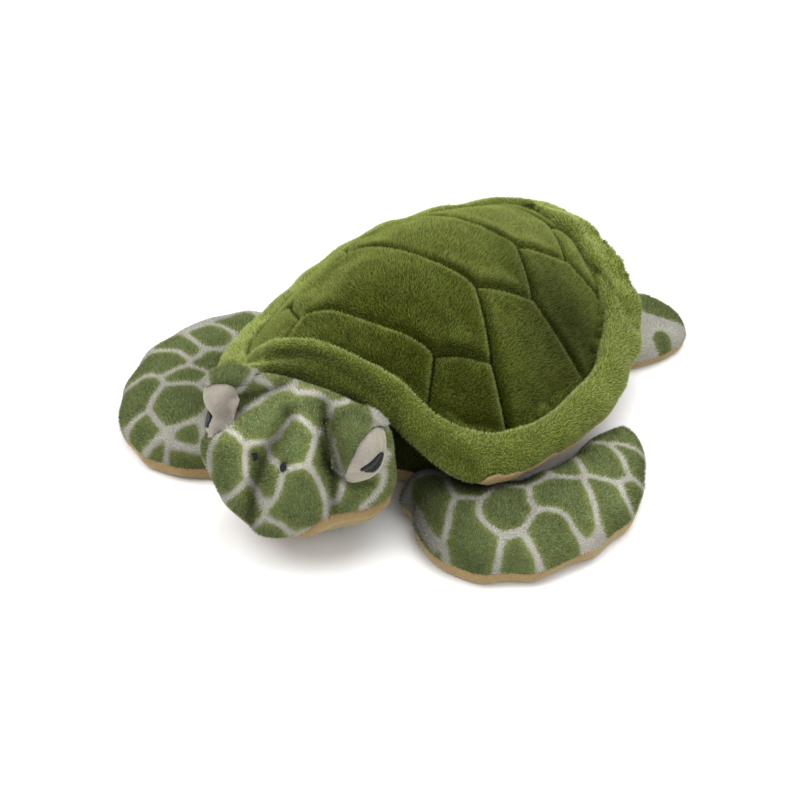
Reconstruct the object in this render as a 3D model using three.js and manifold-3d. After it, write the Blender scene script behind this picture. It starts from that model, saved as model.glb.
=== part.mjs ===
// Plush sea turtle lying flat, head raised: a quilted shell with a padded brim, four flippers and a tail.
// Millimetres, +Z up. The turtle faces -Y, its left side is +X, and the origin is on the floor under its belly.
import * as THREE from 'three';
import { mergeVertices } from 'three/addons/utils/BufferGeometryUtils.js';
import Module from 'manifold-3d';

const wasm = await Module();
wasm.setup();

// Cloth, seams and clearances
const plushThickness = 2.6;
const bellyClothThickness = 2.2;
const waddingThickness = 4.0;
const seamGap = 0.35;
const motionGap = 0.9;
const fillGap = 1;
const flatDepth = 0.5;
const farReach = 900;
const weldDistance = 0.05;

// Shell: dome edge and brim edge, as plan reaches from the origin and heights above the floor
const shellHalfWidth = 127;
const shellFrontReach = 100;
const shellRearReach = 196;
const brimHalfWidth = 156;
const brimFrontReach = 122;
const brimRearReach = 212;
const archHeight = 112;
const crownHeight = 149;
const domeRoundnessShare = 1.8;
const domeFlareShare = 1.02;
const crownForward = 12;
const scutePuff = 3.6;
const scuteCrown = 1.8;
const channelHalfWidth = 7;
const brimPuff = 18;
const brimUnderDepth = 5;
const collarGroove = 6;
const collarGrooveShare = 0.55;
const collarGrooveWidthShare = 0.16;
const collarRowCount = 5;
const waddingShrinkShare = 0.8;
const slopeStep = 1.5;
const slopeInwardShare = 0.985;
const channelLimitShare = 0.4;
const crownRingShare = 0.62;
const crownRingPuffShare = 0.8;

// Dome edge: side, lengthwise and height shares, from the front centre round the left side to the rear,
// and how much lower the right side lies, because the stuffed shell leans that way
const domeEdgeShares = [
  [0, -1, 1, 0], [0.19, -0.99, 0.98, 0], [0.385, -0.95, 0.87, 0], [0.54, -0.89, 0.71, 0.02],
  [0.7, -0.79, 0.56, 0.05],
  [0.84, -0.61, 0.49, 0.09], [0.935, -0.35, 0.455, 0.12], [0.985, 0, 0.44, 0.14], [1, 0.19, 0.44, 0.14],
  [0.965, 0.385, 0.455, 0.13], [0.88, 0.55, 0.51, 0.14], [0.755, 0.69, 0.59, 0.15], [0.58, 0.81, 0.67, 0.18],
  [0.335, 0.93, 0.71, 0.14], [0, 1, 0.69, 0],
];
// Brim edge at the same places on the left side, with the share of the full puff that the brim has there
const brimEdgeShares = [
  [-0.06, -1, 0.92, 1], [0.16, -0.99, 0.885, 1], [0.33, -0.965, 0.78, 1], [0.48, -0.955, 0.61, 1],
  [0.64, -0.9, 0.465, 1], [0.795, -0.735, 0.395, 1], [0.905, -0.465, 0.35, 1], [0.975, -0.12, 0.32, 1],
  [1, 0.14, 0.315, 1], [0.97, 0.37, 0.335, 0.95], [0.915, 0.555, 0.4, 0.85], [0.815, 0.7, 0.53, 0.7],
  [0.64, 0.81, 0.7, 0.55], [0.36, 0.95, 0.77, 0.5], [-0.02, 1.04, 0.66, 0.6],
];
// The right side's own brim edge, which droops where the left one is turned up
const brimRightShares = [
  [0, 0, 0, 1], [-0.27, -0.98, 0.875, 1], [-0.42, -0.95, 0.79, 1], [-0.57, -0.92, 0.64, 1],
  [-0.7, -0.82, 0.5, 0.85], [-0.8, -0.64, 0.43, 0.7], [-0.89, -0.4, 0.37, 0.6], [-0.95, -0.1, 0.28, 0.55],
  [-0.97, 0.14, 0.22, 0.6], [-0.96, 0.38, 0.22, 0.64], [-0.92, 0.57, 0.26, 0.68], [-0.83, 0.75, 0.32, 0.7],
  [-0.67, 0.89, 0.4, 0.7], [-0.38, 1.01, 0.5, 0.66],
];
// Section of the brim: share of the way from dome edge to brim edge, and share of the puff above that line
const brimTopShares = [
  [0, 0.06], [0.03, 0.66], [0.16, 0.97], [0.32, 0.95], [0.56, 0.74], [0.86, 0.52], [1, 0.1],
];
// Underside of the same section, below that line
const brimUnderShares = [[0.97, -0.5], [0.75, -1], [0.1, -0.7]];

// Scute corners on the left half: side share of the dome's half width, lengthwise share of its rear reach
const scuteCornerShares = {
  frontInner: [0.43, -0.316], frontOuter: [0.665, -0.153], middleInner: [0.41, 0.026],
  middleOuter: [0.625, 0.23],
  rearInner: [0.385, 0.41], rearOuter: [0.56, 0.61], lastInner: [0.27, 0.86],
};
// Stations round the shell for each row of the tables above, samples for each row to look up the dome edge,
// and where scute seams meet the dome edge, as shares of the stations from the neck to the tail
const stationsPerRowShare = 1.5;
const edgeSampleCount = 8;
const seamEndStationShares = { neck: 0.19, shoulder: 0.38, flank: 0.57, hip: 0.76, rump: 0.905 };

// Body below the dome: plan share and height share of each ring, from the dome edge down to the floor
const bodyRingShares = [[1, 0.9], [1.01, 0.72], [1, 0.5], [0.96, 0.28], [0.88, 0.1], [0.76, 0]];
const bellySeamHeight = 24;

// Neck ball, which the body and the head are hollowed round
const neckPivot = [0, -100, 58];
const neckRadius = 38;
const neckSleeveHalfLength = 27;
const neckSideCount = 18;
const neckBandCount = 10;

// Head: reach in front of and behind its middle, with rings from chin to crown
const headMiddle = -148;
const headHalfWidth = 68;
const headFrontReach = 63;
const headBackReach = 36;
const headBottom = 11;
const headTop = 121;
const jawSeamHeight = 31;
// Height, half width, front reach and back reach shares, and how square the front is in plan
const headRingShares = [
  [0.02, 0.42, 0.42, 0.4, 1.5], [0.07, 0.62, 0.74, 0.66, 1.42], [0.16, 0.73, 0.9, 0.83, 1.42],
  [0.27, 0.83, 0.98, 0.95, 1.5], [0.42, 0.93, 1.02, 1, 1.65], [0.58, 0.96, 0.98, 0.9, 1.85],
  [0.72, 0.98, 0.86, 0.7, 2.1],
  [0.84, 0.98, 0.68, 0.44, 2.2], [0.93, 0.82, 0.48, 0.28, 2.2], [0.985, 0.5, 0.26, 0.16, 2.1],
];
const headSideCount = 24;
const snoutCreaseDepth = 6;
const browBulge = 5;
const browSpread = 20;

// Eyes, lids and nostrils on the left side of the head
const eyeCentre = [64, -172, 103];
const eyeFacing = [0.74, -0.62, 0.26];
const eyeHalfLength = 20;
const eyeHalfWidth = 14;
const eyePatchThickness = 1.5;
const pupilHalfLength = 10;
const pupilHalfWidth = 5.5;
const pupilDrop = 5;
const pupilThickness = 1.2;
const lidHalfSizes = [20, 20, 18];
const lidOffset = [-12, -2, 3];
const nostrilSpacing = 25;
const nostrilHeight = 90;
const nostrilHalfSizes = [3.2, 2.6, 4.2];
const nostrilFacing = [0.1, -1, 0.1];
const patchSideCount = 18;
const cutterDepthShare = 3;
const lidSideCount = 14;
const lidBandCount = 9;

// Front flipper: root on the floor plan, reach outwards and sweep backwards from it
const frontFlipper = {
  root: [70, -98], reach: 140, sweep: 150, seamHeight: 10, fullHeight: 31, rootRadius: 15.5,
  stuffingInsetShare: 0.24,
  // Leading edge side and lengthwise shares, trailing edge side and lengthwise shares, height share
  stationShares: [
    [-0.024, -0.128, 0.024, 0.128, 0.9], [0.085, -0.27, 0.12, 0.14, 0.98], [0.27, -0.38, 0.185, 0.155, 1.01],
    [0.5, -0.38, 0.26, 0.19, 1.03], [0.75, -0.24, 0.37, 0.29, 1.01], [0.92, 0.03, 0.455, 0.43, 0.97],
    [0.985, 0.33, 0.52, 0.6, 0.9], [0.945, 0.565, 0.54, 0.725, 0.82], [0.83, 0.81, 0.575, 0.87, 0.65],
    [0.69, 0.96, 0.635, 0.965, 0.45],
  ],
};
const rearFlipper = {
  root: [82, 150], reach: 66, sweep: 66, seamHeight: 8, fullHeight: 25, rootRadius: 12, stuffingInsetShare: 0.3,
  stationShares: [
    [0.22, -0.42, -0.22, 0.42, 0.9], [0.48, -0.34, -0.04, 0.74, 1], [0.7, -0.2, 0.16, 1, 1],
    [0.86, 0, 0.4, 1.04, 0.95], [0.97, 0.26, 0.64, 0.96, 0.8], [1, 0.5, 0.82, 0.84, 0.55],
    [0.98, 0.62, 0.9, 0.75, 0.45],
  ],
};
const tail = {
  root: [0, 180], reach: 22, sweep: 48, seamHeight: 6, fullHeight: 20, rootRadius: 10, stuffingInsetShare: 0.36,
  stationShares: [
    [0.9, 0, -0.9, 0, 0.95], [0.8, 0.3, -0.8, 0.3, 1], [0.58, 0.6, -0.58, 0.6, 0.85],
    [0.32, 0.85, -0.32, 0.85, 0.6],
    [0.14, 0.98, -0.14, 0.98, 0.45],
  ],
};
// How far each limb swings down and up about its root seam, in degrees, which the body leaves room for
const frontFlipperSwing = [-25, 4];
const rearFlipperSwing = [-20, 6];
const tailSwing = [-15, 15];
// Limb sections: steps over the top, how square the swell is, turns of the half-round root, and the underside as
// share of the way across and share of the way from the seam down to the floor
const limbTopStepCount = 5;
const limbSwellShare = 0.75;
const rootEndAngles = [68, 46, 22];
const limbUnderShares = [[0.985, 0.5], [0.93, 0.97], [0.5, 1], [0.07, 0.97], [0.015, 0.5]];
// Stations of a limb whose sweep is cut out of the body, and sides of its round socket
const sweepStationCount = 4;
const socketSideCount = 16;

// Fabric colours
const cloth = (color, roughness = 0.95) => new THREE.MeshStandardMaterial({ color, roughness, metalness: 0 });
const shellPlush = cloth(0x3d5212);
const brimPlush = cloth(0x5b7a2a);
const skinPlush = cloth(0x5f7f45);
const neckPlush = cloth(0x34480f);
const tanVelour = cloth(0xb48a5a, 0.9);
const creamVelour = cloth(0xc9b9a4, 0.85);
const blackFelt = cloth(0x14161a, 0.7);
const fibreFill = cloth(0xeeece6, 1);

// Points and vectors
const vec = (x, y, z = 0) => new THREE.Vector3(x, y, z);
const mirrored = (point) => vec(-point.x, point.y, point.z);
const between = (from, to, share) => from.clone().lerp(to, share);

// A surface is a list of points and a list of three-point faces
const surface = () => ({ points: [], faces: [] });

function addRing(shape, ring) {
  const start = shape.points.length;
  shape.points.push(...ring);
  return ring.map((_, index) => start + index);
}

function bridge(shape, ringA, ringB) {
  ringA.forEach((corner, index) => {
    const next = (index + 1) % ringA.length;
    shape.faces.push([corner, ringA[next], ringB[next]], [corner, ringB[next], ringB[index]]);
  });
}

function fan(shape, ring, tip) {
  const centre = shape.points.push(tip) - 1;
  ring.forEach((corner, index) => shape.faces.push([corner, ring[(index + 1) % ring.length], centre]));
}

const middleOf = (ring) => ring.reduce((sum, point) => sum.add(point), vec(0, 0)).divideScalar(ring.length);

// Closed form through rings of equal count, with a fan at each end
function loft(rings) {
  const shape = surface();
  const indexed = rings.map((ring) => addRing(shape, ring));
  indexed.slice(1).forEach((ring, index) => bridge(shape, indexed[index], ring));
  fan(shape, [...indexed[0]].reverse(), middleOf(rings[0]));
  fan(shape, indexed.at(-1), middleOf(rings.at(-1)));
  return shape;
}

// Ring-shaped form: its sections run round a loop and meet again
function loftLoop(sections) {
  const shape = surface();
  const indexed = sections.map((section) => addRing(shape, section));
  indexed.forEach((ring, index) => bridge(shape, ring, indexed[(index + 1) % indexed.length]));
  return shape;
}

function signedVolume({ points, faces }) {
  return faces.reduce((sum, [a, b, c]) => sum + points[a].dot(vec(0, 0).crossVectors(points[b], points[c])), 0);
}

function toManifold(shape) {
  const outward = signedVolume(shape) > 0;
  const corners = shape.faces.flatMap(([a, b, c]) => (outward ? [a, b, c] : [a, c, b]));
  const places = shape.points.flatMap((point) => point.toArray());
  return new wasm.Manifold(new wasm.Mesh({
    numProp: 3, vertProperties: Float32Array.from(places), triVerts: Uint32Array.from(corners),
  }));
}

function fromGeometry(geometry, matrix = new THREE.Matrix4()) {
  const bare = geometry.clone().applyMatrix4(matrix);
  bare.deleteAttribute('normal');
  bare.deleteAttribute('uv');
  const merged = mergeVertices(bare);
  return new wasm.Manifold(new wasm.Mesh({
    numProp: 3, vertProperties: Float32Array.from(merged.attributes.position.array),
    triVerts: Uint32Array.from(merged.index.array),
  }));
}

function node(name, solid, material) {
  const { vertProperties, triVerts } = solid.getMesh();
  const geometry = new THREE.BufferGeometry();
  geometry.setAttribute('position', new THREE.BufferAttribute(vertProperties, 3));
  geometry.setIndex(new THREE.BufferAttribute(triVerts, 1));
  geometry.computeVertexNormals();
  const mesh = new THREE.Mesh(geometry, material);
  mesh.name = name;
  return mesh;
}

// The same form with its surface moved out (or in, below zero) along its own normals
function grown(shape, distance) {
  const geometry = new THREE.BufferGeometry().setFromPoints(shape.points);
  const outward = signedVolume(shape) > 0;
  geometry.setIndex(shape.faces.flatMap(([a, b, c]) => (outward ? [a, b, c] : [a, c, b])));
  geometry.computeVertexNormals();
  const normals = geometry.attributes.normal;
  const points = shape.points.map((point, index) =>
    point.clone().addScaledVector(vec(0, 0).fromBufferAttribute(normals, index), distance));
  return { points, faces: shape.faces };
}

// Everything above or below a level
function slab(low, high) {
  const box = new THREE.BoxGeometry(farReach, farReach, high - low);
  return fromGeometry(box, new THREE.Matrix4().makeTranslation(0, 0, (low + high) / 2));
}
const aboveLevel = (level) => slab(level, farReach);
const belowLevel = (level) => slab(-farReach, level);

function mirrorSolid(solid) {
  return solid.mirror([1, 0, 0]);
}

// Stations round the shell: the edge tables hold its left half, and the stations lie evenly between their rows
const halfRows = domeEdgeShares.length - 1;
const allRows = halfRows * 2;

const lengthwise = (share, frontReach, rearReach) => share * (share < 0 ? frontReach : rearReach);
const domeEdgePlace = ([side, along, rise], drop) =>
  vec(side * shellHalfWidth, lengthwise(along, shellFrontReach, shellRearReach), (rise - drop) * archHeight);
const brimEdgePlace = ([side, along, rise]) =>
  vec(side * brimHalfWidth, lengthwise(along, brimFrontReach, brimRearReach), rise * archHeight);
const roundShell = (left, right) => new THREE.CatmullRomCurve3([...left, ...right.slice(1).reverse()], true,
  'centripetal');
const domeEdgeCurve = roundShell(domeEdgeShares.map((shares) => domeEdgePlace(shares, 0)),
  domeEdgeShares.slice(0, -1).map((shares) => mirrored(domeEdgePlace(shares, shares[3]))));
const brimEdgeCurve = roundShell(brimEdgeShares.map(brimEdgePlace), brimRightShares.map(brimEdgePlace));
const stationRows = Array.from({ length: Math.round(allRows * stationsPerRowShare) },
  (_, index) => index / stationsPerRowShare);
const rowPoint = (curve, row) => curve.getPoint((((row % allRows) + allRows) % allRows) / allRows);

const brimPuffShares = [...brimEdgeShares, ...brimRightShares.slice(1).reverse()].map((shares) => shares[3]);

function brimPuffShare(row) {
  const lower = Math.floor(row);
  return THREE.MathUtils.lerp(brimPuffShares[lower], brimPuffShares[(lower + 1) % allRows], row - lower);
}

// Dome: a crown over the dome edge, as a height for any place in plan
const edgeSamples = Array.from({ length: allRows * edgeSampleCount },
  (_, index) => rowPoint(domeEdgeCurve, index / edgeSampleCount));
const edgeAngles = edgeSamples.map((point) => Math.atan2(point.x, -(point.y + crownForward)));

function edgeToward(x, y) {
  const angle = Math.atan2(x, -(y + crownForward));
  const count = edgeSamples.length;
  for (let index = 0; index < count; index += 1) {
    const next = (index + 1) % count;
    const span = THREE.MathUtils.euclideanModulo(edgeAngles[next] - edgeAngles[index], 2 * Math.PI);
    const step = THREE.MathUtils.euclideanModulo(angle - edgeAngles[index], 2 * Math.PI);
    if (step <= span) return between(edgeSamples[index], edgeSamples[next], step / span);
  }
  return edgeSamples[0].clone();
}

function domeHeight(x, y) {
  const edge = edgeToward(x, y);
  const reach = Math.hypot(edge.x, edge.y + crownForward);
  const share = Math.min(Math.hypot(x, y + crownForward) / reach, 1);
  const rise = (1 - share ** domeRoundnessShare) ** domeFlareShare;
  return edge.z + (crownHeight - edge.z) * rise;
}

function domeNormal(x, y) {
  const [px, py] = [x * slopeInwardShare, (y + crownForward) * slopeInwardShare - crownForward];
  const slopeX = (domeHeight(px + slopeStep, py) - domeHeight(px - slopeStep, py)) / (2 * slopeStep);
  const slopeY = (domeHeight(px, py + slopeStep) - domeHeight(px, py - slopeStep)) / (2 * slopeStep);
  return vec(-slopeX, -slopeY, 1).normalize();
}

// Scute plan: each scute is a closed loop in plan, made of straight seams and stretches of the dome edge
const seamStep = 22;
const leftCorner = (name) => {
  const [side, along] = scuteCornerShares[name];
  return vec(side * shellHalfWidth, along * shellRearReach);
};
const corner = (name, side) => (side > 0 ? leftCorner(name) : mirrored(leftCorner(name)));

function seamLine(from, to) {
  const steps = Math.max(1, Math.round(from.distanceTo(to) / seamStep));
  return Array.from({ length: steps }, (_, index) => between(from, to, index / steps));
}

function edgeStretch(fromRow, toRow) {
  const steps = Math.round(Math.abs(toRow - fromRow) * stationsPerRowShare);
  return Array.from({ length: steps }, (_, index) =>
    Object.assign(rowPoint(domeEdgeCurve, fromRow + ((toRow - fromRow) * index) / steps), { onEdge: true }));
}

function loopOf(...stops) {
  return stops.flatMap((stop, index) => {
    const next = stops[(index + 1) % stops.length];
    if (stop.row !== undefined && next.row !== undefined) return edgeStretch(stop.row, next.row);
    const [from, to] = [stop, next]
      .map((end) => (end.row === undefined ? end.at : rowPoint(domeEdgeCurve, end.row)));
    const line = seamLine(vec(from.x, from.y), vec(to.x, to.y));
    if (stop.row !== undefined) line[0] = Object.assign(rowPoint(domeEdgeCurve, stop.row), { onEdge: true });
    return line;
  });
}

function scuteLoops() {
  const at = (name, side) => ({ at: corner(name, side) });
  const halfStations = halfRows * stationsPerRowShare;
  const rowOf = (name) => Math.round(seamEndStationShares[name] * halfStations) / stationsPerRowShare;
  const end = (name, side) => ({ row: side > 0 ? rowOf(name) : allRows - rowOf(name) });
  const vertebral = (front, outer, rear) => loopOf(
    at(front, 1), at(outer, 1), at(rear, 1), at(rear, -1), at(outer, -1), at(front, -1));
  const loops = [
    loopOf({ row: -rowOf('neck') }, { row: rowOf('neck') }, at('frontInner', 1), at('frontInner', -1)),
    vertebral('frontInner', 'frontOuter', 'middleInner'),
    vertebral('middleInner', 'middleOuter', 'rearInner'),
    vertebral('rearInner', 'rearOuter', 'lastInner'),
    loopOf(end('rump', 1), end('rump', -1), at('lastInner', -1), at('lastInner', 1)),
  ];
  [1, -1].forEach((side) => loops.push(
    loopOf(end('neck', side), end('shoulder', side), at('frontOuter', side), at('frontInner', side)),
    loopOf(end('shoulder', side), end('flank', side), at('middleOuter', side), at('middleInner', side),
      at('frontOuter', side)),
    loopOf(end('flank', side), end('hip', side), at('rearOuter', side), at('rearInner', side),
      at('middleOuter', side)),
    loopOf(end('hip', side), end('rump', side), at('lastInner', side), at('rearOuter', side)),
  ));
  return loops;
}

// Net of all scutes in plan: each point knows its place on the dome, its normal and its share of the puff
function scuteNet(crowned) {
  const places = [];
  const faces = [];
  const find = (x, y) => places.findIndex(({ base }) => Math.hypot(base.x - x, base.y - y) < weldDistance);
  const place = (x, y, z, puff) => {
    const known = find(x, y);
    return known < 0 ? places.push({ base: vec(x, y, z), normal: domeNormal(x, y), puff }) - 1 : known;
  };
  scuteLoops().forEach((loop) => {
    const centre = middleOf(loop.map((point) => vec(point.x, point.y)));
    const inset = (point, distance) => between(point, centre,
      Math.min(distance / point.distanceTo(centre), channelLimitShare));
    const ring = (shareOf, puff) => loop.map((point) => {
      const spot = shareOf(vec(point.x, point.y));
      return place(spot.x, spot.y, domeHeight(spot.x, spot.y), puff);
    });
    const rim = loop.map((point) => place(point.x, point.y,
      point.onEdge ? point.z : domeHeight(point.x, point.y), 0));
    const rings = [rim, ring((point) => inset(point, channelHalfWidth), scutePuff)];
    const innerPuff = scutePuff + scuteCrown * crownRingPuffShare;
    if (crowned) rings.push(ring((point) => between(point, centre, crownRingShare), innerPuff));
    const tip = place(centre.x, centre.y, domeHeight(centre.x, centre.y), scutePuff + scuteCrown);
    rings.slice(1).forEach((inner, depth) => inner.forEach((_, index) => {
      const next = (index + 1) % inner.length;
      const outer = rings[depth];
      faces.push([outer[index], outer[next], inner[next]], [outer[index], inner[next], inner[index]]);
    }));
    rings.at(-1).forEach((point, index, last) => faces.push([point, last[(index + 1) % last.length], tip]));
  });
  const turned = faces.map(([a, b, c]) => {
    const [p, q, r] = [places[a].base, places[b].base, places[c].base];
    const area = (q.x - p.x) * (r.y - p.y) - (r.x - p.x) * (q.y - p.y);
    return area > 0 ? [a, b, c] : [a, c, b];
  });
  const rimIndices = stationRows.map((row) => {
    const point = rowPoint(domeEdgeCurve, row);
    return find(point.x, point.y);
  });
  return { places, faces: turned, rimIndices };
}

// Closed sheet between two layers of the scute net, each an offset along the dome's normals and a share of the puff
function quiltLayer(net, [topOffset, topPuffShare], [bottomOffset, bottomPuffShare]) {
  const layer = (offset, share) => net.places.map(({ base, normal, puff }) =>
    base.clone().addScaledVector(normal, offset + share * puff));
  const shape = surface();
  const top = addRing(shape, layer(topOffset, topPuffShare));
  const bottom = addRing(shape, layer(bottomOffset, bottomPuffShare));
  net.faces.forEach(([a, b, c]) => shape.faces.push([top[a], top[b], top[c]], [bottom[a], bottom[c], bottom[b]]));
  bridge(shape, net.rimIndices.map((index) => bottom[index]), net.rimIndices.map((index) => top[index]));
  return toManifold(shape);
}

// Body rings below the dome edge, drawn in on all sides by an inset and lifted off the floor by a cloth's thickness
function bodyRing([planShare, riseShare], inset, lift) {
  return stationRows.map((row) => {
    const edge = rowPoint(domeEdgeCurve, row);
    const flat = vec(edge.x * planShare, (edge.y + crownForward) * planShare - crownForward);
    const inward = vec(-flat.x, -(flat.y + crownForward)).normalize().multiplyScalar(inset);
    const rise = Math.max(riseShare * edge.z, riseShare > 0 ? lift : lift - flatDepth);
    return flat.add(inward).setZ(rise);
  });
}

function bodyCup(thickness) {
  const outer = toManifold(loft(bodyRingShares.map((shares) => bodyRing(shares, 0, 0))));
  const tall = [[bodyRingShares[0][0], 1 + bodyRingShares[0][1]], ...bodyRingShares];
  const inner = toManifold(loft(tall.map((shares) => bodyRing(shares, thickness, bellyClothThickness))));
  return outer.subtract(inner.intersect(aboveLevel(bellyClothThickness))).intersect(aboveLevel(0));
}

// Stuffing of the body: rings up the side wall, closed by the dome's own net a layer lower
function bodyFill(net, depthBelowDome) {
  const shape = surface();
  const wallInset = plushThickness + 2 * fillGap;
  const rings = bodyRingShares.slice(1).reverse().map((shares) =>
    addRing(shape, bodyRing(shares, wallInset, bellyClothThickness + 2 * fillGap)));
  rings.slice(1).forEach((ring, index) => bridge(shape, rings[index], ring));
  fan(shape, [...rings[0]].reverse(), middleOf(rings[0].map((index) => shape.points[index])));
  const top = addRing(shape, net.places
    .map(({ base, normal }) => base.clone().addScaledVector(normal, -depthBelowDome)));
  net.rimIndices.forEach((index) => {
    const point = shape.points[top[index]];
    const inward = vec(-point.x, -(point.y + crownForward)).normalize();
    point.addScaledVector(inward, wallInset);
  });
  bridge(shape, rings.at(-1), net.rimIndices.map((index) => top[index]));
  net.faces.forEach((face) => shape.faces.push(face.map((index) => top[index])));
  return toManifold(shape).intersect(aboveLevel(bellyClothThickness + 2 * fillGap));
}

// Brim section at a station: a puffed top, a rounded edge and a flatter underside
function brimFrame(row) {
  const inner = rowPoint(domeEdgeCurve, row);
  const outer = rowPoint(brimEdgeCurve, row);
  const along = outer.clone().sub(inner);
  const sideways = vec(-along.y, along.x).normalize();
  const up = vec(0, 0).crossVectors(along, sideways).normalize();
  return { inner, along, up: up.z < 0 ? up.negate() : up };
}

function brimPoint({ inner, along, up }, [share, rise], puff) {
  return inner.clone().addScaledVector(along, share).addScaledVector(up, rise * puff);
}

// How much a station belongs to the collar over the neck, from 1 at the front centre to 0 past the shoulders
const collarShare = (row) => THREE.MathUtils.clamp(1 - Math.min(row, allRows - row) / collarRowCount, 0, 1);

function brimOutline(row) {
  const frame = brimFrame(row);
  const inner = frame.inner.clone().addScaledVector(frame.along, seamGap / frame.along.length());
  const start = { ...frame, inner };
  const puff = brimPuff * brimPuffShare(row);
  const groove = (share) => Math.exp(-(((share - collarGrooveShare) / collarGrooveWidthShare) ** 2))
    * collarGroove * collarShare(row) / puff;
  const top = brimTopShares.map(([share, rise]) => brimPoint(start, [share, rise - groove(share)], puff));
  const under = brimUnderShares.map(([share, rise]) => brimPoint(start, [share, rise], brimUnderDepth));
  return { top, under };
}

const shrunk = (ring, share) => ring.map((point) => between(point, middleOf(ring), share));

// A layer of the outline: points moved towards the inside of the section
function insideOf(ring, distance) {
  const centre = middleOf(ring);
  return ring.map((point, index) => {
    const before = ring[(index + ring.length - 1) % ring.length];
    const after = ring[(index + 1) % ring.length];
    const tangent = after.clone().sub(before).normalize();
    const toCentre = centre.clone().sub(point);
    const inward = toCentre.addScaledVector(tangent, -toCentre.dot(tangent)).normalize();
    return point.clone().addScaledVector(inward, distance);
  });
}

function brimPieces() {
  const steps = stationRows.map((row) => {
    const { top, under } = brimOutline(row);
    const outline = [...top, ...under];
    const skin = insideOf(outline, plushThickness);
    const afterSeam = (points) => {
      const [last, first] = [points[top.length - 1], points[top.length]];
      const [end, start] = [points.at(-1), points[0]];
      return [last.clone().addScaledVector(first.clone().sub(last).normalize(), fillGap), ...points.slice(top.length),
        start.clone().addScaledVector(end.clone().sub(start).normalize(), fillGap)];
    };
    return {
      band: [...top, ...skin.slice(0, top.length).reverse()],
      underside: [...afterSeam(outline), ...afterSeam(skin).reverse()],
      wadding: shrunk(outline.filter((_, index) => index % 2 === 0), waddingShrinkShare),
    };
  });
  const made = (name) => toManifold(loftLoop(steps.map((step) => step[name])));
  return { band: made('band'), underside: made('underside'), wadding: made('wadding') };
}

// Head: level rings, blunt at the brow and pointed at the jaw, with a crease down the snout and a bulge at each brow
function headRing([riseShare, widthShare, frontShare, backShare, squareness]) {
  const rise = headBottom + riseShare * (headTop - headBottom);
  return Array.from({ length: headSideCount }, (_, index) => {
    const turn = (2 * Math.PI * index) / headSideCount;
    const [side, ahead] = [Math.sin(turn), Math.cos(turn)];
    const power = ahead > 0 ? 2 / squareness : 1;
    const reach = ahead > 0 ? -headFrontReach * frontShare : headBackReach * backShare;
    const x = headHalfWidth * widthShare * Math.sign(side) * Math.abs(side) ** power;
    const crease = index === 0 ? snoutCreaseDepth * Math.sin(Math.PI * riseShare) : 0;
    return vec(x, headMiddle + reach * Math.abs(ahead) ** power + crease, rise);
  });
}

function headShape() {
  const shape = loft(headRingShares.map(headRing));
  const brows = [vec(...eyeCentre), mirrored(vec(...eyeCentre))];
  const middle = vec(0, headMiddle, (headTop + headBottom) / 2);
  shape.points = shape.points.map((point) => {
    const bulge = brows.reduce((sum, brow) => sum + Math.exp(-((point.distanceTo(brow) / browSpread) ** 2)), 0);
    return point.clone().addScaledVector(point.clone().sub(middle).normalize(), browBulge * bulge);
  });
  return shape;
}

// An oval prism that looks out of the head along a facing, its long side upright
function ovalCutter(centre, facing, halfWidth, halfLength, depth, sides) {
  const out = vec(...facing).normalize();
  const across = vec(-out.y, out.x).normalize();
  const upright = vec(0, 0).crossVectors(out, across);
  const matrix = new THREE.Matrix4().makeBasis(across.multiplyScalar(halfWidth), out,
    upright.multiplyScalar(halfLength).negate()).setPosition(...centre);
  return fromGeometry(new THREE.CylinderGeometry(1, 1, depth, sides), matrix);
}

// A patch of cloth that follows the head's surface inside an oval
function patchOn(head, cutter, lift, thickness) {
  return toManifold(grown(head, lift + thickness)).intersect(cutter).subtract(toManifold(grown(head, lift)));
}

function facePieces(head) {
  const cutterDepth = cutterDepthShare * eyeHalfLength;
  const pupilPlace = [eyeCentre[0], eyeCentre[1], eyeCentre[2] - pupilDrop];
  const eyeCut = ovalCutter(eyeCentre, eyeFacing, eyeHalfWidth, eyeHalfLength, cutterDepth, patchSideCount);
  const eye = patchOn(head, eyeCut, seamGap, eyePatchThickness);
  const pupilCut = ovalCutter(pupilPlace, eyeFacing, pupilHalfWidth, pupilHalfLength, cutterDepth,
    patchSideCount);
  const pupil = patchOn(head, pupilCut, 2 * seamGap + eyePatchThickness, pupilThickness);
  const lidAt = eyeCentre.map((place, index) => place + lidOffset[index]);
  const lidMatrix = new THREE.Matrix4().makeScale(...lidHalfSizes).setPosition(...lidAt);
  const eyeClear = ovalCutter(eyeCentre, eyeFacing, eyeHalfWidth + seamGap, eyeHalfLength + seamGap, cutterDepth,
    patchSideCount);
  const lid = fromGeometry(new THREE.SphereGeometry(1, lidSideCount, lidBandCount), lidMatrix)
    .subtract(toManifold(grown(head, seamGap))).subtract(eyeClear);
  const nostrilCut = ovalCutter([nostrilSpacing / 2, headMiddle - headFrontReach, nostrilHeight], nostrilFacing,
    nostrilHalfSizes[0], nostrilHalfSizes[2], headFrontReach / 2, patchSideCount / 2);
  const nostril = patchOn(head, nostrilCut, 2 * seamGap, nostrilHalfSizes[1]);
  return { eye, pupil, lid, nostril };
}

// Limbs: a padded paddle that starts in a half-round root, with a seam between a plush top and a smooth underside
function limbRoot({ root, reach, sweep, stationShares }) {
  const [leadSide, leadAlong, trailSide, trailAlong] = stationShares[0];
  const line = vec((leadSide - trailSide) * reach, (leadAlong - trailAlong) * sweep).normalize();
  return { hinge: line, outward: vec(-line.y, line.x) };
}

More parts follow.
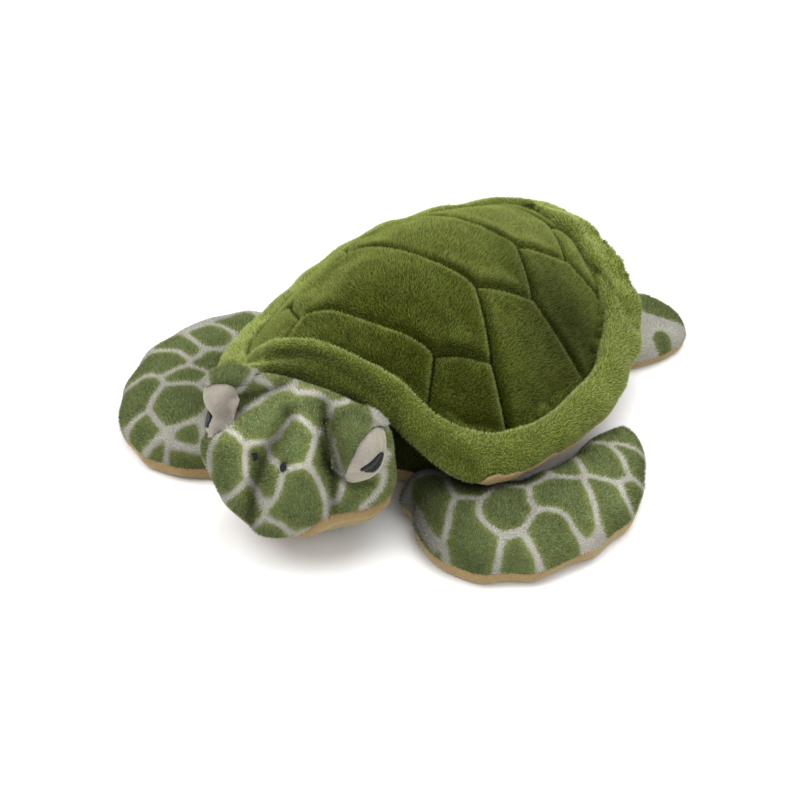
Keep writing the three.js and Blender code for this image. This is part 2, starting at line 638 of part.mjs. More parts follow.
function limbSection(lead, trail, low, seam, high) {
  const turns = Array.from({ length: limbTopStepCount + 1 },
    (_, index) => (Math.PI * index) / limbTopStepCount);
  return [
    ...turns.map((turn) => between(lead, trail, (1 - Math.cos(turn)) / 2)
      .setZ(seam + (high - seam) * Math.max(Math.sin(turn), 0) ** limbSwellShare)),
    ...limbUnderShares.map(([across, down]) => between(lead, trail, across).setZ(seam + (low - seam) * down)),
  ];
}

function limbStations({ root, reach, sweep, seamHeight, fullHeight, rootRadius, stationShares }) {
  return stationShares.map(([leadSide, leadAlong, trailSide, trailAlong, heightShare], index) => {
    const lead = vec(root[0] + leadSide * reach, root[1] + leadAlong * sweep);
    const trail = vec(root[0] + trailSide * reach, root[1] + trailAlong * sweep);
    const high = index === 0 ? 2 * rootRadius : fullHeight * heightShare;
    return limbSection(lead, trail, -flatDepth, index === 0 ? rootRadius : seamHeight, high);
  });
}

function limbRings(limb) {
  const { root, reach, sweep, rootRadius, stationShares } = limb;
  const { outward } = limbRoot(limb);
  const side = outward.x < 0 || (outward.x === 0 && outward.y < 0) ? -1 : 1;
  const rootEnd = rootEndAngles.map((degrees) => {
    const turn = THREE.MathUtils.degToRad(degrees);
    const [back, half] = [rootRadius * Math.sin(turn), (rootRadius + flatDepth) * Math.cos(turn)];
    const [leadSide, leadAlong, trailSide, trailAlong] = stationShares[0];
    const place = (sideShare, alongShare) => vec(root[0] + sideShare * reach, root[1] + alongShare * sweep)
      .addScaledVector(outward, -side * back);
    return limbSection(place(leadSide, leadAlong), place(trailSide, trailAlong), rootRadius - half, rootRadius,
      rootRadius + half);
  });
  return [...rootEnd, ...limbStations(limb)];
}

function limbPieces(limb) {
  const rings = limbRings(limb);
  const shape = loft(rings);
  const stuffing = loft(rings.slice(2, -3).map((ring) => shrunk(ring, limb.stuffingInsetShare)));
  const outer = toManifold(shape).intersect(aboveLevel(0));
  const inner = toManifold(grown(shape, -plushThickness)).intersect(aboveLevel(bellyClothThickness));
  const skin = outer.subtract(inner);
  return {
    top: skin.intersect(aboveLevel(limb.seamHeight + seamGap / 2)),
    underside: skin.intersect(belowLevel(limb.seamHeight - seamGap / 2)),
    fill: toManifold(stuffing).intersect(aboveLevel(bellyClothThickness + seamGap)),
  };
}

// Space that a limb sweeps through about its root seam: a round socket, and the paddle at each end of its swing
function limbSweep(limb, swing) {
  const { hinge } = limbRoot(limb);
  const { root, reach, sweep, rootRadius, stationShares } = limb;
  const [leadSide, leadAlong, trailSide, trailAlong] = stationShares[0];
  const rootLength = Math.hypot((leadSide - trailSide) * reach, (leadAlong - trailAlong) * sweep);
  const pivot = vec(root[0], root[1], rootRadius);
  const along = new THREE.Quaternion().setFromUnitVectors(vec(0, 1), hinge);
  const socket = fromGeometry(
    new THREE.CylinderGeometry(rootRadius + motionGap, rootRadius + motionGap, rootLength + 2 * motionGap,
      socketSideCount),
    new THREE.Matrix4().compose(pivot, along, vec(1, 1, 1)),
  );
  const paddle = grown(loft(limbStations(limb).slice(0, sweepStationCount)), motionGap);
  return [swing[0], 0, swing[1]].map((degrees) => {
    const turn = new THREE.Quaternion().setFromAxisAngle(hinge, THREE.MathUtils.degToRad(degrees));
    const points = paddle.points.map((point) => point.clone().sub(pivot).applyQuaternion(turn).add(pivot));
    return toManifold({ points, faces: paddle.faces });
  }).reduce((sum, solid) => sum.add(solid), socket);
}

// Assembly
const turtle = new THREE.Group();
const put = (name, solid, material) => turtle.add(node(name, solid, material));
const putPair = (name, ending, solid, material) => {
  put(`${name}_left${ending}`, solid, material);
  put(`${name}_right${ending}`, mirrorSolid(solid), material);
};

const neckCentre = new THREE.Matrix4().makeTranslation(...neckPivot);
const ball = (radius) => fromGeometry(new THREE.SphereGeometry(radius, neckSideCount, neckBandCount),
  neckCentre);
const neckSpace = ball(neckRadius + motionGap);
const limbSpaces = [[frontFlipper, frontFlipperSwing], [rearFlipper, rearFlipperSwing]]
  .flatMap(([limb, swing]) => [limbSweep(limb, swing), mirrorSolid(limbSweep(limb, swing))])
  .concat(limbSweep(tail, tailSwing));
const clearOfLimbs = (solid) => limbSpaces
  .reduce((left, space) => left.subtract(space), solid.subtract(neckSpace));

const fineNet = scuteNet(true);
const plainNet = scuteNet(false);
const layerBelow = plushThickness + seamGap;
const fillDepth = layerBelow + waddingThickness + 3 * fillGap;
put('shell_panel', quiltLayer(fineNet, [0, 1], [-plushThickness, 1]), shellPlush);
put('shell_wadding', quiltLayer(plainNet, [-layerBelow, 1], [-layerBelow - waddingThickness, 0]), fibreFill);

const brim = brimPieces();
put('brim_band', brim.band, brimPlush);
put('brim_wadding', brim.wadding, fibreFill);
put('brim_underside', brim.underside, tanVelour);

const cup = clearOfLimbs(bodyCup(plushThickness));
put('belly_panel', cup.intersect(belowLevel(bellySeamHeight - seamGap / 2)), tanVelour);
put('side_panel', cup.intersect(aboveLevel(bellySeamHeight + seamGap / 2)), neckPlush);
put('body_filling', clearOfLimbs(bodyFill(plainNet, fillDepth)), fibreFill);

const sleeveSlab = fromGeometry(new THREE.BoxGeometry(farReach, 2 * neckSleeveHalfLength, farReach), neckCentre);
put('neck_sleeve', ball(neckRadius).subtract(ball(neckRadius - plushThickness)).intersect(sleeveSlab), neckPlush);
put('neck_filling', ball(neckRadius - plushThickness - fillGap), fibreFill);

const head = headShape();
const headInner = toManifold(grown(head, -plushThickness));
const headSkin = toManifold(head).subtract(headInner).subtract(neckSpace);
put('head_top', headSkin.intersect(aboveLevel(jawSeamHeight + seamGap / 2)), skinPlush);
put('head_jaw', headSkin.intersect(belowLevel(jawSeamHeight - seamGap / 2)), tanVelour);
put('head_filling', toManifold(grown(head, -plushThickness - fillGap)).subtract(neckSpace), fibreFill);
const face = facePieces(head);
putPair('eye_patch', '', face.eye, creamVelour);
putPair('pupil', '', face.pupil, blackFelt);
putPair('eyelid', '', face.lid, skinPlush);
putPair('nostril', '', face.nostril, blackFelt);

const frontPieces = limbPieces(frontFlipper);
putPair('front_flipper', '_top', frontPieces.top, skinPlush);
putPair('front_flipper', '_underside', frontPieces.underside, tanVelour);
putPair('front_flipper', '_filling', frontPieces.fill, fibreFill);
const rearPieces = limbPieces(rearFlipper);
putPair('rear_flipper', '_top', rearPieces.top, skinPlush);
putPair('rear_flipper', '_underside', rearPieces.underside, tanVelour);
putPair('rear_flipper', '_filling', rearPieces.fill, fibreFill);
const tailPieces = limbPieces(tail);
put('tail_top', tailPieces.top, skinPlush);
put('tail_underside', tailPieces.underside, tanVelour);
put('tail_filling', tailPieces.fill, fibreFill);

export default turtle;
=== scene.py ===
"""Looks of the plush sea turtle: swollen covers, seams, plush pile, printed skin, face and studio stage."""

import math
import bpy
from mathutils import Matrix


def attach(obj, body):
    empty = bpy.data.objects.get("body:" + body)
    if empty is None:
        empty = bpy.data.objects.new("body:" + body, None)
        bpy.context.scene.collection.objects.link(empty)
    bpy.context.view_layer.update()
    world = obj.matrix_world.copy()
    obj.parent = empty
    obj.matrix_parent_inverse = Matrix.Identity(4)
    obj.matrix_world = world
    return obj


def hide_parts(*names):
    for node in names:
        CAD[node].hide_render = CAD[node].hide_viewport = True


bl_info = {
    "name": "Plush sea turtle looks",
    "version": (1, 0, 0),
    "blender": (4, 5, 0),
    "location": "View3D > Sidebar > Plush turtle",
    "description": "Builds the covers, pile, face and stage of a plush sea turtle round its CAD frame",
    "category": "Object",
}

import bmesh
import bpy
import numpy as np
from bpy.props import FloatProperty, FloatVectorProperty, IntProperty, PointerProperty
from mathutils import Vector
from mathutils.bvhtree import BVHTree

MM = 0.001

# Seams between the scutes: corners of the left half, in millimetres in plan
SCUTE_CORNERS = {
    "front_inner": (54.6, -61.9), "front_outer": (84.5, -30), "middle_inner": (52.1, 5.1),
    "middle_outer": (79.4, 45.1), "rear_inner": (48.9, 80.4), "rear_outer": (71.1, 119.6),
    "last_inner": (34.3, 168.6), "neck": (62, -91), "shoulder": (110.7, -52.3), "flank": (127, 37.2),
    "hip": (101.2, 126.1), "rump": (52.9, 174.4),
}
SCUTE_SEAMS = (
    ("front_inner", "front_outer"), ("front_outer", "middle_inner"), ("middle_inner", "middle_outer"),
    ("middle_outer", "rear_inner"), ("rear_inner", "rear_outer"), ("rear_outer", "last_inner"),
    ("front_inner", "neck"), ("front_outer", "shoulder"), ("middle_outer", "flank"), ("rear_outer", "hip"),
    ("last_inner", "rump"),
)
CROSS_SEAMS = ("front_inner", "middle_inner", "rear_inner", "last_inner")

# Green patches of the printed skin, as outlines in millimetres in plan
LEFT_FLIPPER_PRINT = (
    ((63, -110), (69, -102), (78, -97), (89, -107), (99, -122), (105, -139), (105, -147), (94, -140),
     (72, -122), (63, -115)),
    ((58, -114), (65, -118), (91, -145), (105, -153), (110, -158), (94, -153), (80, -145), (68, -132)),
    ((102, -120), (107, -112), (114, -110), (120, -124), (128, -130), (137, -133), (144, -138), (147, -143),
     (145, -151), (136, -157), (126, -155), (118, -150), (111, -145), (106, -134)),
    ((84, -89), (97, -85), (112, -86), (116, -100), (111, -105), (100, -108), (91, -102)),
    ((118, -96), (122, -88), (136, -79), (144, -91), (151, -108), (151, -117), (141, -125), (131, -124),
     (121, -117), (119, -105)),
    ((150, -136), (158, -129), (166, -129), (172, -130), (173, -138), (154, -148), (150, -142)),
    ((161, -101), (167, -96), (173, -93), (183, -99), (188, -102), (189, -107), (184, -116), (177, -129),
     (171, -129), (165, -123), (160, -112)),
    ((143, -78), (147, -66), (155, -57), (165, -54), (174, -57), (182, -65), (189, -77), (192, -89),
     (188, -95), (180, -90), (170, -85), (157, -87), (149, -90)),
    ((137, -22), (145, -25), (156, -33), (162, -45), (155, -49), (142, -47), (134, -39)),
    ((118, -77), (124, -66), (133, -52), (139, -50), (138, -62), (133, -71), (129, -77)),
    ((149, -8), (157, -2), (168, 0), (179, -8), (187, -20), (187, -32), (176, -36), (166, -35), (155, -24)),
    ((173, -46), (183, -43), (192, -43), (202, -48), (208, -50), (208, -60), (203, -71), (197, -77),
     (189, -68), (179, -58)),
    ((169, 2), (171, 11), (183, 13), (192, 8), (199, -9), (193, -16), (187, -11), (177, -1)),
    ((152, 9), (150, 22), (152, 38), (162, 46), (174, 38), (184, 23), (177, 18), (166, 14), (161, 8)),
    ((196, -31), (202, -22), (207, -24), (210, -32), (209, -43), (202, -43)),
)
RIGHT_FLIPPER_PRINT = (
    ((-182, -28), (-176, -14), (-169, -6), (-159, -6), (-155, -16), (-154, -29), (-161, -34), (-175, -30)),
    ((-174, -2), (-170, 12), (-164, 30), (-154, 28), (-153, 8), (-158, -2)),
    ((-196, -52), (-195, -37), (-187, -31), (-178, -33), (-165, -42), (-162, -52), (-165, -55), (-174, -51),
     (-181, -52)),
    ((-194, -73), (-194, -60), (-180, -57), (-171, -57), (-162, -65), (-162, -73), (-166, -85), (-178, -87),
     (-184, -97), (-192, -97), (-194, -85)),
    ((-150, -41), (-142, -36), (-130, -42), (-126, -56), (-135, -62), (-144, -62), (-152, -64), (-152, -51)),
    ((-161, -88), (-159, -78), (-152, -71), (-143, -67), (-139, -70), (-140, -82), (-149, -90), (-154, -92)),
    ((-182, -90), (-173, -93), (-163, -99), (-160, -106), (-160, -113), (-158, -124), (-160, -133),
     (-170, -134), (-183, -118), (-187, -107), (-186, -98)),
    ((-153, -101), (-147, -93), (-137, -91), (-127, -96), (-121, -100), (-116, -112), (-116, -120),
     (-124, -128), (-131, -134), (-141, -128), (-150, -120), (-154, -110)),
    ((-153, -133), (-148, -135), (-137, -141), (-132, -147), (-137, -153), (-148, -149), (-158, -140)),
    ((-133, -151), (-128, -150), (-125, -153), (-128, -157), (-136, -156)),
    ((-117, -139), (-112, -133), (-105, -130), (-99, -135), (-101, -143), (-113, -144)),
    ((-115, -150), (-109, -147), (-94, -144), (-88, -148), (-100, -155), (-112, -156)),
    ((-133, -77), (-131, -67), (-124, -66), (-120, -76), (-125, -86)),
    ((-100, -92), (-88, -88), (-76, -96), (-74, -110), (-84, -118), (-98, -112), (-106, -102)),
    ((-96, -122), (-84, -126), (-80, -138), (-92, -140), (-102, -132)),
)
REAR_FLIPPER_PRINT = (
    ((100, 200), (110, 210), (122, 216), (134, 211), (143, 200), (138, 190), (122, 183), (110, 184)),
    ((136, 160), (138, 165), (143, 166), (145, 161), (141, 157)),
    ((88, 150), (98, 146), (112, 152), (118, 164), (110, 172), (94, 168), (86, 160)),
    ((84, 182), (94, 180), (98, 192), (90, 198), (82, 192)),
)
TAIL_PRINT = (
    ((-13, 184), (-4, 182), (-2, 194), (-8, 200), (-14, 194)),
    ((4, 186), (12, 184), (14, 194), (8, 202), (3, 196)),
    ((-6, 206), (3, 204), (6, 214), (0, 222), (-7, 214)),
)
# The head's patches lie on a chart seen square on from its left front: its centre, its two axes and the
# direction from which it is seen
HEAD_CENTRE = np.array((0, -150, 60)) * MM
HEAD_SIDE = np.array((0.849459, 0.527653, 0))
HEAD_RISE = np.array((-0.320825, 0.516489, 0.793921))
HEAD_LOOK = np.array((0.418916, -0.674404, 0.608021))
HEAD_PRINT = (
    ((-52, 27), (-42, 34), (-30, 39), (-24, 44), (-14, 45), (0, 42), (7, 42), (13, 37), (15, 30), (13, 23),
     (6, 21), (0, 25), (-6, 30), (-9, 30), (-14, 22), (-19, 16), (-30, 14), (-41, 15), (-45, 21)),
    ((-10, 26), (-5, 26), (0, 22), (2, 15), (1, 7), (-3, 0), (-10, -2), (-18, -1), (-25, -1), (-26, 6),
     (-22, 10), (-18, 15), (-17, 20)),
    ((-35, 8), (-28, 8), (-25, 2), (-24, -3), (-21, -8), (-24, -18), (-28, -27), (-35, -28), (-32, -22),
     (-34, -15), (-38, -9), (-39, -2), (-37, 5)),
    ((-54, 15), (-48, 12), (-46, 5), (-46, -7), (-49, -16), (-54, -23), (-58, -21), (-64, -13), (-67, -1),
     (-65, 7), (-60, 12)),
    ((-49, -25), (-41, -21), (-34, -24), (-32, -29), (-36, -34), (-40, -43), (-44, -39), (-50, -34),
     (-54, -29)),
    ((-12, -13), (-5, -11), (3, -13), (7, -23), (8, -35), (5, -41), (-6, -43), (-13, -46), (-20, -43),
     (-25, -38), (-19, -32), (-15, -25), (-14, -19)),
    ((10, 11), (15, 14), (18, 6), (20, -4), (22, -13), (22, -23), (20, -30), (15, -28), (11, -19), (7, -9),
     (6, 1)),
    ((18, -33), (24, -23), (25, -17), (32, -19), (43, -17), (50, -15), (48, -24), (39, -32), (29, -40),
     (18, -43), (15, -38)),
    ((-6, 46), (-3, 49), (5, 50), (14, 50), (23, 47), (27, 40), (24, 37), (17, 40), (9, 45), (0, 46)),
    ((-30, 57), (-20, 56), (-10, 55), (-15, 50), (-23, 48), (-25, 53)),
    ((21, 33), (30, 35), (37, 32), (40, 25), (37, 18), (35, 10), (30, 2), (27, -6), (24, -10), (21, -4),
     (18, 8), (17, 18), (18, 26)),
    ((-60, 61), (-52, 64), (-46, 63), (-42, 58), (-46, 54), (-52, 51), (-58, 52), (-60, 57)),
    ((-34, 51), (-27, 51), (-22, 47), (-30, 42), (-40, 35), (-49, 29), (-52, 29), (-49, 36), (-41, 44)),
    ((-35, -51), (-27, -45), (-19, -48), (-21, -56), (-27, -60), (-33, -57)),
    ((-75, 18), (-70, 20), (-66, 17), (-67, 9), (-68, 4), (-67, -6), (-70, -1), (-74, 6), (-77, 12)),
    ((53, 13), (59, 8), (63, 2), (61, -6), (56, -14), (51, -23), (44, -31), (36, -37), (51, -32), (59, -20),
     (65, -6), (65, 9)),
)
# The eye, its pupil and its lid on the head's chart, those of the far side as the same chart sees them, and
# the ball that the lid and the eye bulge over
EYE_OUTLINE = (
    (52, 18), (53, 10), (52, 0), (50, -8), (45, -15), (38, -19), (32, -19), (26, -17), (26, -11), (29, -3),
    (34, 6), (40, 14), (46, 18),
)
PUPIL_OUTLINE = ((51, 4), (50, -2), (47, -8), (43, -11), (38, -10), (35, -8), (40, -6), (45, -2))
LID_OUTLINE = (
    (14, 22), (12, 10), (13, -1), (17, -9), (23, -13), (27, -12), (29, -4), (34, 5), (40, 13), (46, 17),
    (53, 17), (56, 22), (53, 27), (46, 31), (37, 33), (25, 31), (18, 28),
)
FAR_EYE_OUTLINE = (
    (-47, 35), (-45, 43), (-47, 49), (-54, 52), (-63, 51), (-72, 46), (-80, 34), (-80, 18), (-72, 11),
    (-64, 13), (-57, 19), (-51, 27),
)
FAR_PUPIL_OUTLINE = ((-82, 40), (-72, 39), (-66, 34), (-65, 27), (-72, 19), (-82, 24))
FAR_LID_OUTLINE = (
    (-70, 43), (-60, 47), (-52, 50), (-44, 50), (-38, 54), (-36, 64), (-46, 72), (-60, 72), (-70, 62),
)
EYE_SHAPES = (EYE_OUTLINE, FAR_EYE_OUTLINE)
PUPIL_SHAPES = (PUPIL_OUTLINE, FAR_PUPIL_OUTLINE)
LID_SHAPES = (LID_OUTLINE, FAR_LID_OUTLINE)
BALL_CENTRE = np.array((52, -174, 106)) * MM
BALL_RADII = np.array((18.5, 18.5, 17)) * MM
FAR_BALL_SHIFT = np.array((-5, 3, 5)) * MM
BALL_OUT = np.array((0.6600, -0.5500, 0.5117))
# How far from its ball's centre an eye's pieces may lie
BALL_REACH = 0.030
# Soft swells of the cheeks and beak on the head's chart: centre, reach and height in millimetres
HEAD_SWELLS = (
    ((-60, 8), 20, 13), ((-50, -24), 20, 10), ((-36, -52), 14, 5), ((60, -22), 20, 5), ((45, -42), 16, 6),
)
# Folds of the face on the same chart: the crease down the snout, beside each brow and under each lid
SNOUT_CREASE = ((-12, 30), (-18, 18), (-26, 6), (-32, -6), (-37, -20), (-42, -46))
BROW_FOLD = ((13, 38), (15, 23), (15, 6), (18, -9), (17, -36))
LID_FOLD = ((13, 24), (11, 8), (14, -6), (21, -14), (32, -21), (44, -19))
NOSTRIL_SPOTS = ((-37, 2), (-16, -4))
# Depth and half width of those folds and of the nostrils' dents, in millimetres
SNOUT_DEPTH, BROW_DEPTH, LID_DEPTH, NOSTRIL_DEPTH = 6.5, 4.6, 3.6, 1.6
SNOUT_WIDTH, BROW_WIDTH, LID_WIDTH, NOSTRIL_WIDTH = 5.5, 3.4, 3.0, 4.0
BROW_SHADE_WIDTH = 11
# The mouth seam: its height under the beak, its rise to the corners, and how far from the middle and over
# what reach it rises, in millimetres
MOUTH_LOW, MOUTH_RISE, MOUTH_FLAT, MOUTH_REACH = 22, 25, 8, 34
# How far the patches spread and half the cream line between two, in plan and on the head's chart, and half
# the width of the green band along a brow's fold
PLAN_SPREAD = (3.8, 2.4)
HEAD_SPREAD = (5.6, 2.1)
BROW_BAND = 2.6
# The collar's rolled ridge, the groove under it and a soft fold near the tail, in millimetres
COLLAR_RIDGE = (
    (-125, -63, 52), (-98, -86, 78), (-68, -103, 101), (-28, -110, 123), (-6, -110, 126), (13, -111, 125),
    (35, -112, 118), (53, -110, 104), (68, -109, 89), (85, -103, 78), (101, -95, 68),
)
COLLAR_GROOVE = (
    (-110, -77, 60), (-88, -96, 80), (-63, -108, 100), (-24, -113, 117), (-6, -114, 119), (10, -115, 117),
    (33, -115, 109), (52, -116, 98), (63, -118, 86), (74, -117, 75), (87, -113, 69), (105, -103, 61),
)
TAIL_FOLD = ((87, 148, 77), (110, 131, 74), (126, 124, 65), (137, 114, 58))
# What rolls, tucks and lumps the brim: a line, the height there and its half width, in millimetres
BRIM_ROLLS = ((COLLAR_RIDGE, 3.0, 7), (COLLAR_GROOVE, -7.0, 3.8), (TAIL_FOLD, -2.6, 5))
# From one place on y to another, in millimetres: the height of the brim's lumps, in millimetres, and how far
# its inner edge moves out, in metres
BRIM_LUMPS = ((40, 90), (0.6, 1.3))
BRIM_INNER_OUT = ((60, 110), (0.003, 0.0065))
# How much further the plush reaches round the brim's edge than in the CAD: at the rear, in front, elsewhere
REAR_WRAP, FRONT_WRAP, SIDE_WRAP = 0.0045, 0.007, -0.0015
# Height under which the collar's front drapes, against the distance from its middle, and how far it drapes
DRAPE_LEVEL = ((0, 60, 105, 140), (116, 97, 66, 50))
DRAPE = (0, -0.0015, -0.0055)
# Sags of the quilt's middle: place on y, reach and depth in millimetres, and their half width
QUILT_SAGS = ((-62, 28, 8), (5, 32, 4.5))
SAG_WIDTH = 42
# Reach of a scute's pillow, of the seam beside it and of its flat middle, in millimetres from the seam
PILLOW_REACH, PILLOW_EDGE, FLAT_REACH = 9, 4, 16
# How far the shell's lower rim moves out, from one place on y to another, in metres
SHELL_RIM_OUT = ((0.05, 0.11), (0.004, 0.008))
# Height under which the body is wall, even where its filling lies nearer than the wall's own solid
WALL_TOP = 0.045
# Voxels of the forms and of the fillings, in metres
VOXELS = {
    "shell": 0.004, "brim": 0.004, "brim_fine": 0.0025, "body": 0.005, "neck": 0.004, "head": 0.0034,
    "head_fine": 0.0018, "limb": 0.0036, "nostril": 0.0008,
}
FILLING_VOXELS = {
    "shell_wadding": 0.0035, "brim_wadding": 0.0035, "body_filling": 0.008, "neck_filling": 0.006,
    "head_filling": 0.005,
}
LIMB_FILLING_VOXEL = 0.004
# Height of the lumps of the fillings and of the limbs, in metres and in millimetres
FILLING_LUMPS, LIMB_LUMPS = 0.0006, 0.6
# Heights of the seams between the printed tops and the tan undersides
FRONT_SEAM, REAR_SEAM, TAIL_SEAM = 0.0125, 0.008, 0.006
# Distance at which doubles are merged, and least height of the limbs over the floor
MERGE_GAP = 0.00002
FLOOR_GAP = 0.0003
# How full the covers, the firm covers and the fillings are
COVER_FILL, FIRM_FILL, STUFFING_FILL = 0.7, 0.8, 0.6
# Lift over the head's cover, and thickness, of the eyes' cloth, the pupils and the lids
EYE_LIFT, EYE_CLOTH = 0.0012, 0.0012
PUPIL_LIFT, PUPIL_CLOTH = 0.0022, 0.0009
LID_LIFT, LID_CLOTH = 0.0034, 0.0022
# Tufts: depth of the root in the cloth, spread of their lean, and the place of their corners in a bake cell
TUFT_SUNK = 0.0004
TUFT_WILD = 0.3
TUFT_CHART = np.array(((0.2, 0.2), (0.8, 0.2), (0.5, 0.2), (0.5, 0.8)))
# Which way the head's pile is stroked, and how far it lies down
HEAD_LEAN = ((0, 0.6, -0.6), 0.35)
# Painted shade of a front flipper's print: its share at the root, what it gains towards the tip, and the
# right one's share of it
ROOT_SHADE, TIP_GAIN, RIGHT_SHADE = 0.27, 0.83, 0.94
# Seed of each pile's random draws
SEEDS = {
    "Shell_pile_1": 10, "Shell_pile_2": 11, "Shell_pile_3": 12, "Brim_pile_1": 20, "Brim_pile_2": 21,
    "Side_pile": 31, "Neck_pile": 32, "Head_pile": 41, "Eyelid_pile_left": 44, "Eyelid_pile_right": 42,
    "Front_flipper_left_pile": 51, "Front_flipper_right_pile": 52, "Rear_flipper_left_pile": 53,
    "Rear_flipper_right_pile": 54, "Tail_pile": 55,
}
# Painted sheen: share of a plush's dye seen straight into the pile, and seen along it
SHELL_SHEEN_SHARES = ((0.52, 0.52, 0.34), (1.5, 1.44, 3.5))
BRIM_SHEEN_SHARES = ((1.02, 1.04, 0.9), (1.22, 1.18, 1.8))
NECK_SHEEN_SHARES = ((0.7, 0.7, 0.6), (1.4, 1.4, 2))
# Studio lamps: name, place, width and power, and the point that they face
LAMPS = (
    ("Key", (-0.9, -0.9, 1.9), 1.6, 30),
    ("Fill", (1.7, -1.0, 1.2), 1.8, 11),
    ("Top", (0.3, 0.6, 2.3), 2.2, 50),
)
LAMP_AIM = Vector((0, 0.02, 0.05))
FLOOR_SIZE = 12
MIRROR = np.array((-1, 1, 1))

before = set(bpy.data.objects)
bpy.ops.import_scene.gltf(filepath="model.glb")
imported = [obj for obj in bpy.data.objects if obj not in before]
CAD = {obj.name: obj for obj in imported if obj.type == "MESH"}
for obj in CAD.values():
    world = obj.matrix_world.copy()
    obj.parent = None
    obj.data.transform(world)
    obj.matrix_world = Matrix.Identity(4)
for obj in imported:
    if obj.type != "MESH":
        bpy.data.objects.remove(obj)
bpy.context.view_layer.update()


class TurtleCloth(bpy.types.PropertyGroup):
    """How the covers swell and how thick their cloth is"""

    pressure: FloatProperty(
        name="Pressure", description="Air pressure that swells a stuffed form", default=4.0, min=0)
    swell_cap: FloatProperty(
        name="Swell cap", description="Furthest that a point of a form may swell", default=0.003,
        unit="LENGTH")
    thickness: FloatProperty(name="Cloth", description="Thickness of a cover", default=0.0014, unit="LENGTH")
    frames: IntProperty(name="Frames", description="Frames that the swelling runs", default=14, min=1)
    seam_depth: FloatProperty(
        name="Seam depth", description="How deep a quilting seam draws the shell in", default=0.0026,
        unit="LENGTH")
    seam_width: FloatProperty(
        name="Seam width", description="Half width of a quilting seam's groove", default=0.0022,
        unit="LENGTH")
    pillow: FloatProperty(
        name="Pillow", description="Extra swell of a scute beside its seams", default=0.0016, unit="LENGTH")
    flatten: FloatProperty(
        name="Flatten", description="How far the middle of a scute lies under its CAD crown", default=0.0024,
        unit="LENGTH")


class TurtlePile(bpy.types.PropertyGroup):
    """Length, width and number of the plush tufts"""

    shell_length: FloatProperty(
        name="Shell pile", description="Pile on the shell", default=0.0029, unit="LENGTH")
    brim_length: FloatProperty(
        name="Brim pile", description="Pile on the brim", default=0.0028, unit="LENGTH")
    skin_length: FloatProperty(
        name="Skin pile", description="Pile on the skin, neck and sides", default=0.0024, unit="LENGTH")
    width: FloatProperty(
        name="Tuft width", description="Width of a tuft at its root", default=0.00068, unit="LENGTH")
    dense: FloatProperty(name="Density", description="Tufts per square millimetre", default=0.8, min=0.01)


class TurtleColours(bpy.types.PropertyGroup):
    """Dyes of the fabrics, as linear colours"""

    shell: FloatVectorProperty(
        name="Shell", description="Dark olive plush", subtype="COLOR", size=3, default=(0.136, 0.166, 0.015))
    brim: FloatVectorProperty(
        name="Brim", description="Lighter olive plush", subtype="COLOR", size=3,
        default=(0.275, 0.330, 0.066))
    body: FloatVectorProperty(
        name="Body", description="Dark green plush of neck and sides", subtype="COLOR", size=3,
        default=(0.030, 0.038, 0.003))
    patch: FloatVectorProperty(
        name="Patch", description="Green of the skin's patches", subtype="COLOR", size=3,
        default=(0.150, 0.188, 0.070))
    patch_edge: FloatVectorProperty(
        name="Patch edge", description="Yellower green round a patch", subtype="COLOR", size=3,
        default=(0.205, 0.240, 0.078))
    ground: FloatVectorProperty(
        name="Ground", description="Cream between the patches", subtype="COLOR", size=3,
        default=(0.545, 0.53, 0.455))
    tan: FloatVectorProperty(
        name="Tan", description="Tan velour", subtype="COLOR", size=3, default=(0.25, 0.172, 0.082))
    eye: FloatVectorProperty(
        name="Eye", description="Cream velour of the eyes", subtype="COLOR", size=3,
        default=(0.275, 0.245, 0.21))
    thread: FloatVectorProperty(
        name="Thread", description="Near black embroidery thread", subtype="COLOR", size=3,
        default=(0.012, 0.013, 0.016))
    stuffing: FloatVectorProperty(
        name="Stuffing", description="White stuffing", subtype="COLOR", size=3, default=(0.82, 0.81, 0.78))


class TurtleStage(bpy.types.PropertyGroup):
    """Camera, floor and sky of the studio"""

    paper: FloatProperty(name="Paper", description="Whiteness of the floor", default=0.93, min=0, max=1)
    sky: FloatProperty(name="Sky", description="Strength of the white sky", default=0.75, min=0)
    lens: FloatProperty(name="Lens", description="Focal length", default=99.0, unit="CAMERA")
    distance: FloatProperty(name="Distance", description="Camera to target", default=1.71, unit="LENGTH")
    azimuth: FloatProperty(
        name="Azimuth", description="Camera's turn towards the turtle's left", default=math.radians(28.8),
        subtype="ANGLE")
    elevation: FloatProperty(
        name="Elevation", description="Camera's height angle", default=math.radians(36.0), subtype="ANGLE")
    target: FloatVectorProperty(
        name="Target", description="Point that the camera faces", default=(-0.0153, 0.0140, 0.0),
        subtype="TRANSLATION", unit="LENGTH")


def settings(name):
    """The scene's values of one group"""
    return getattr(bpy.context.scene, f"turtle_{name}")


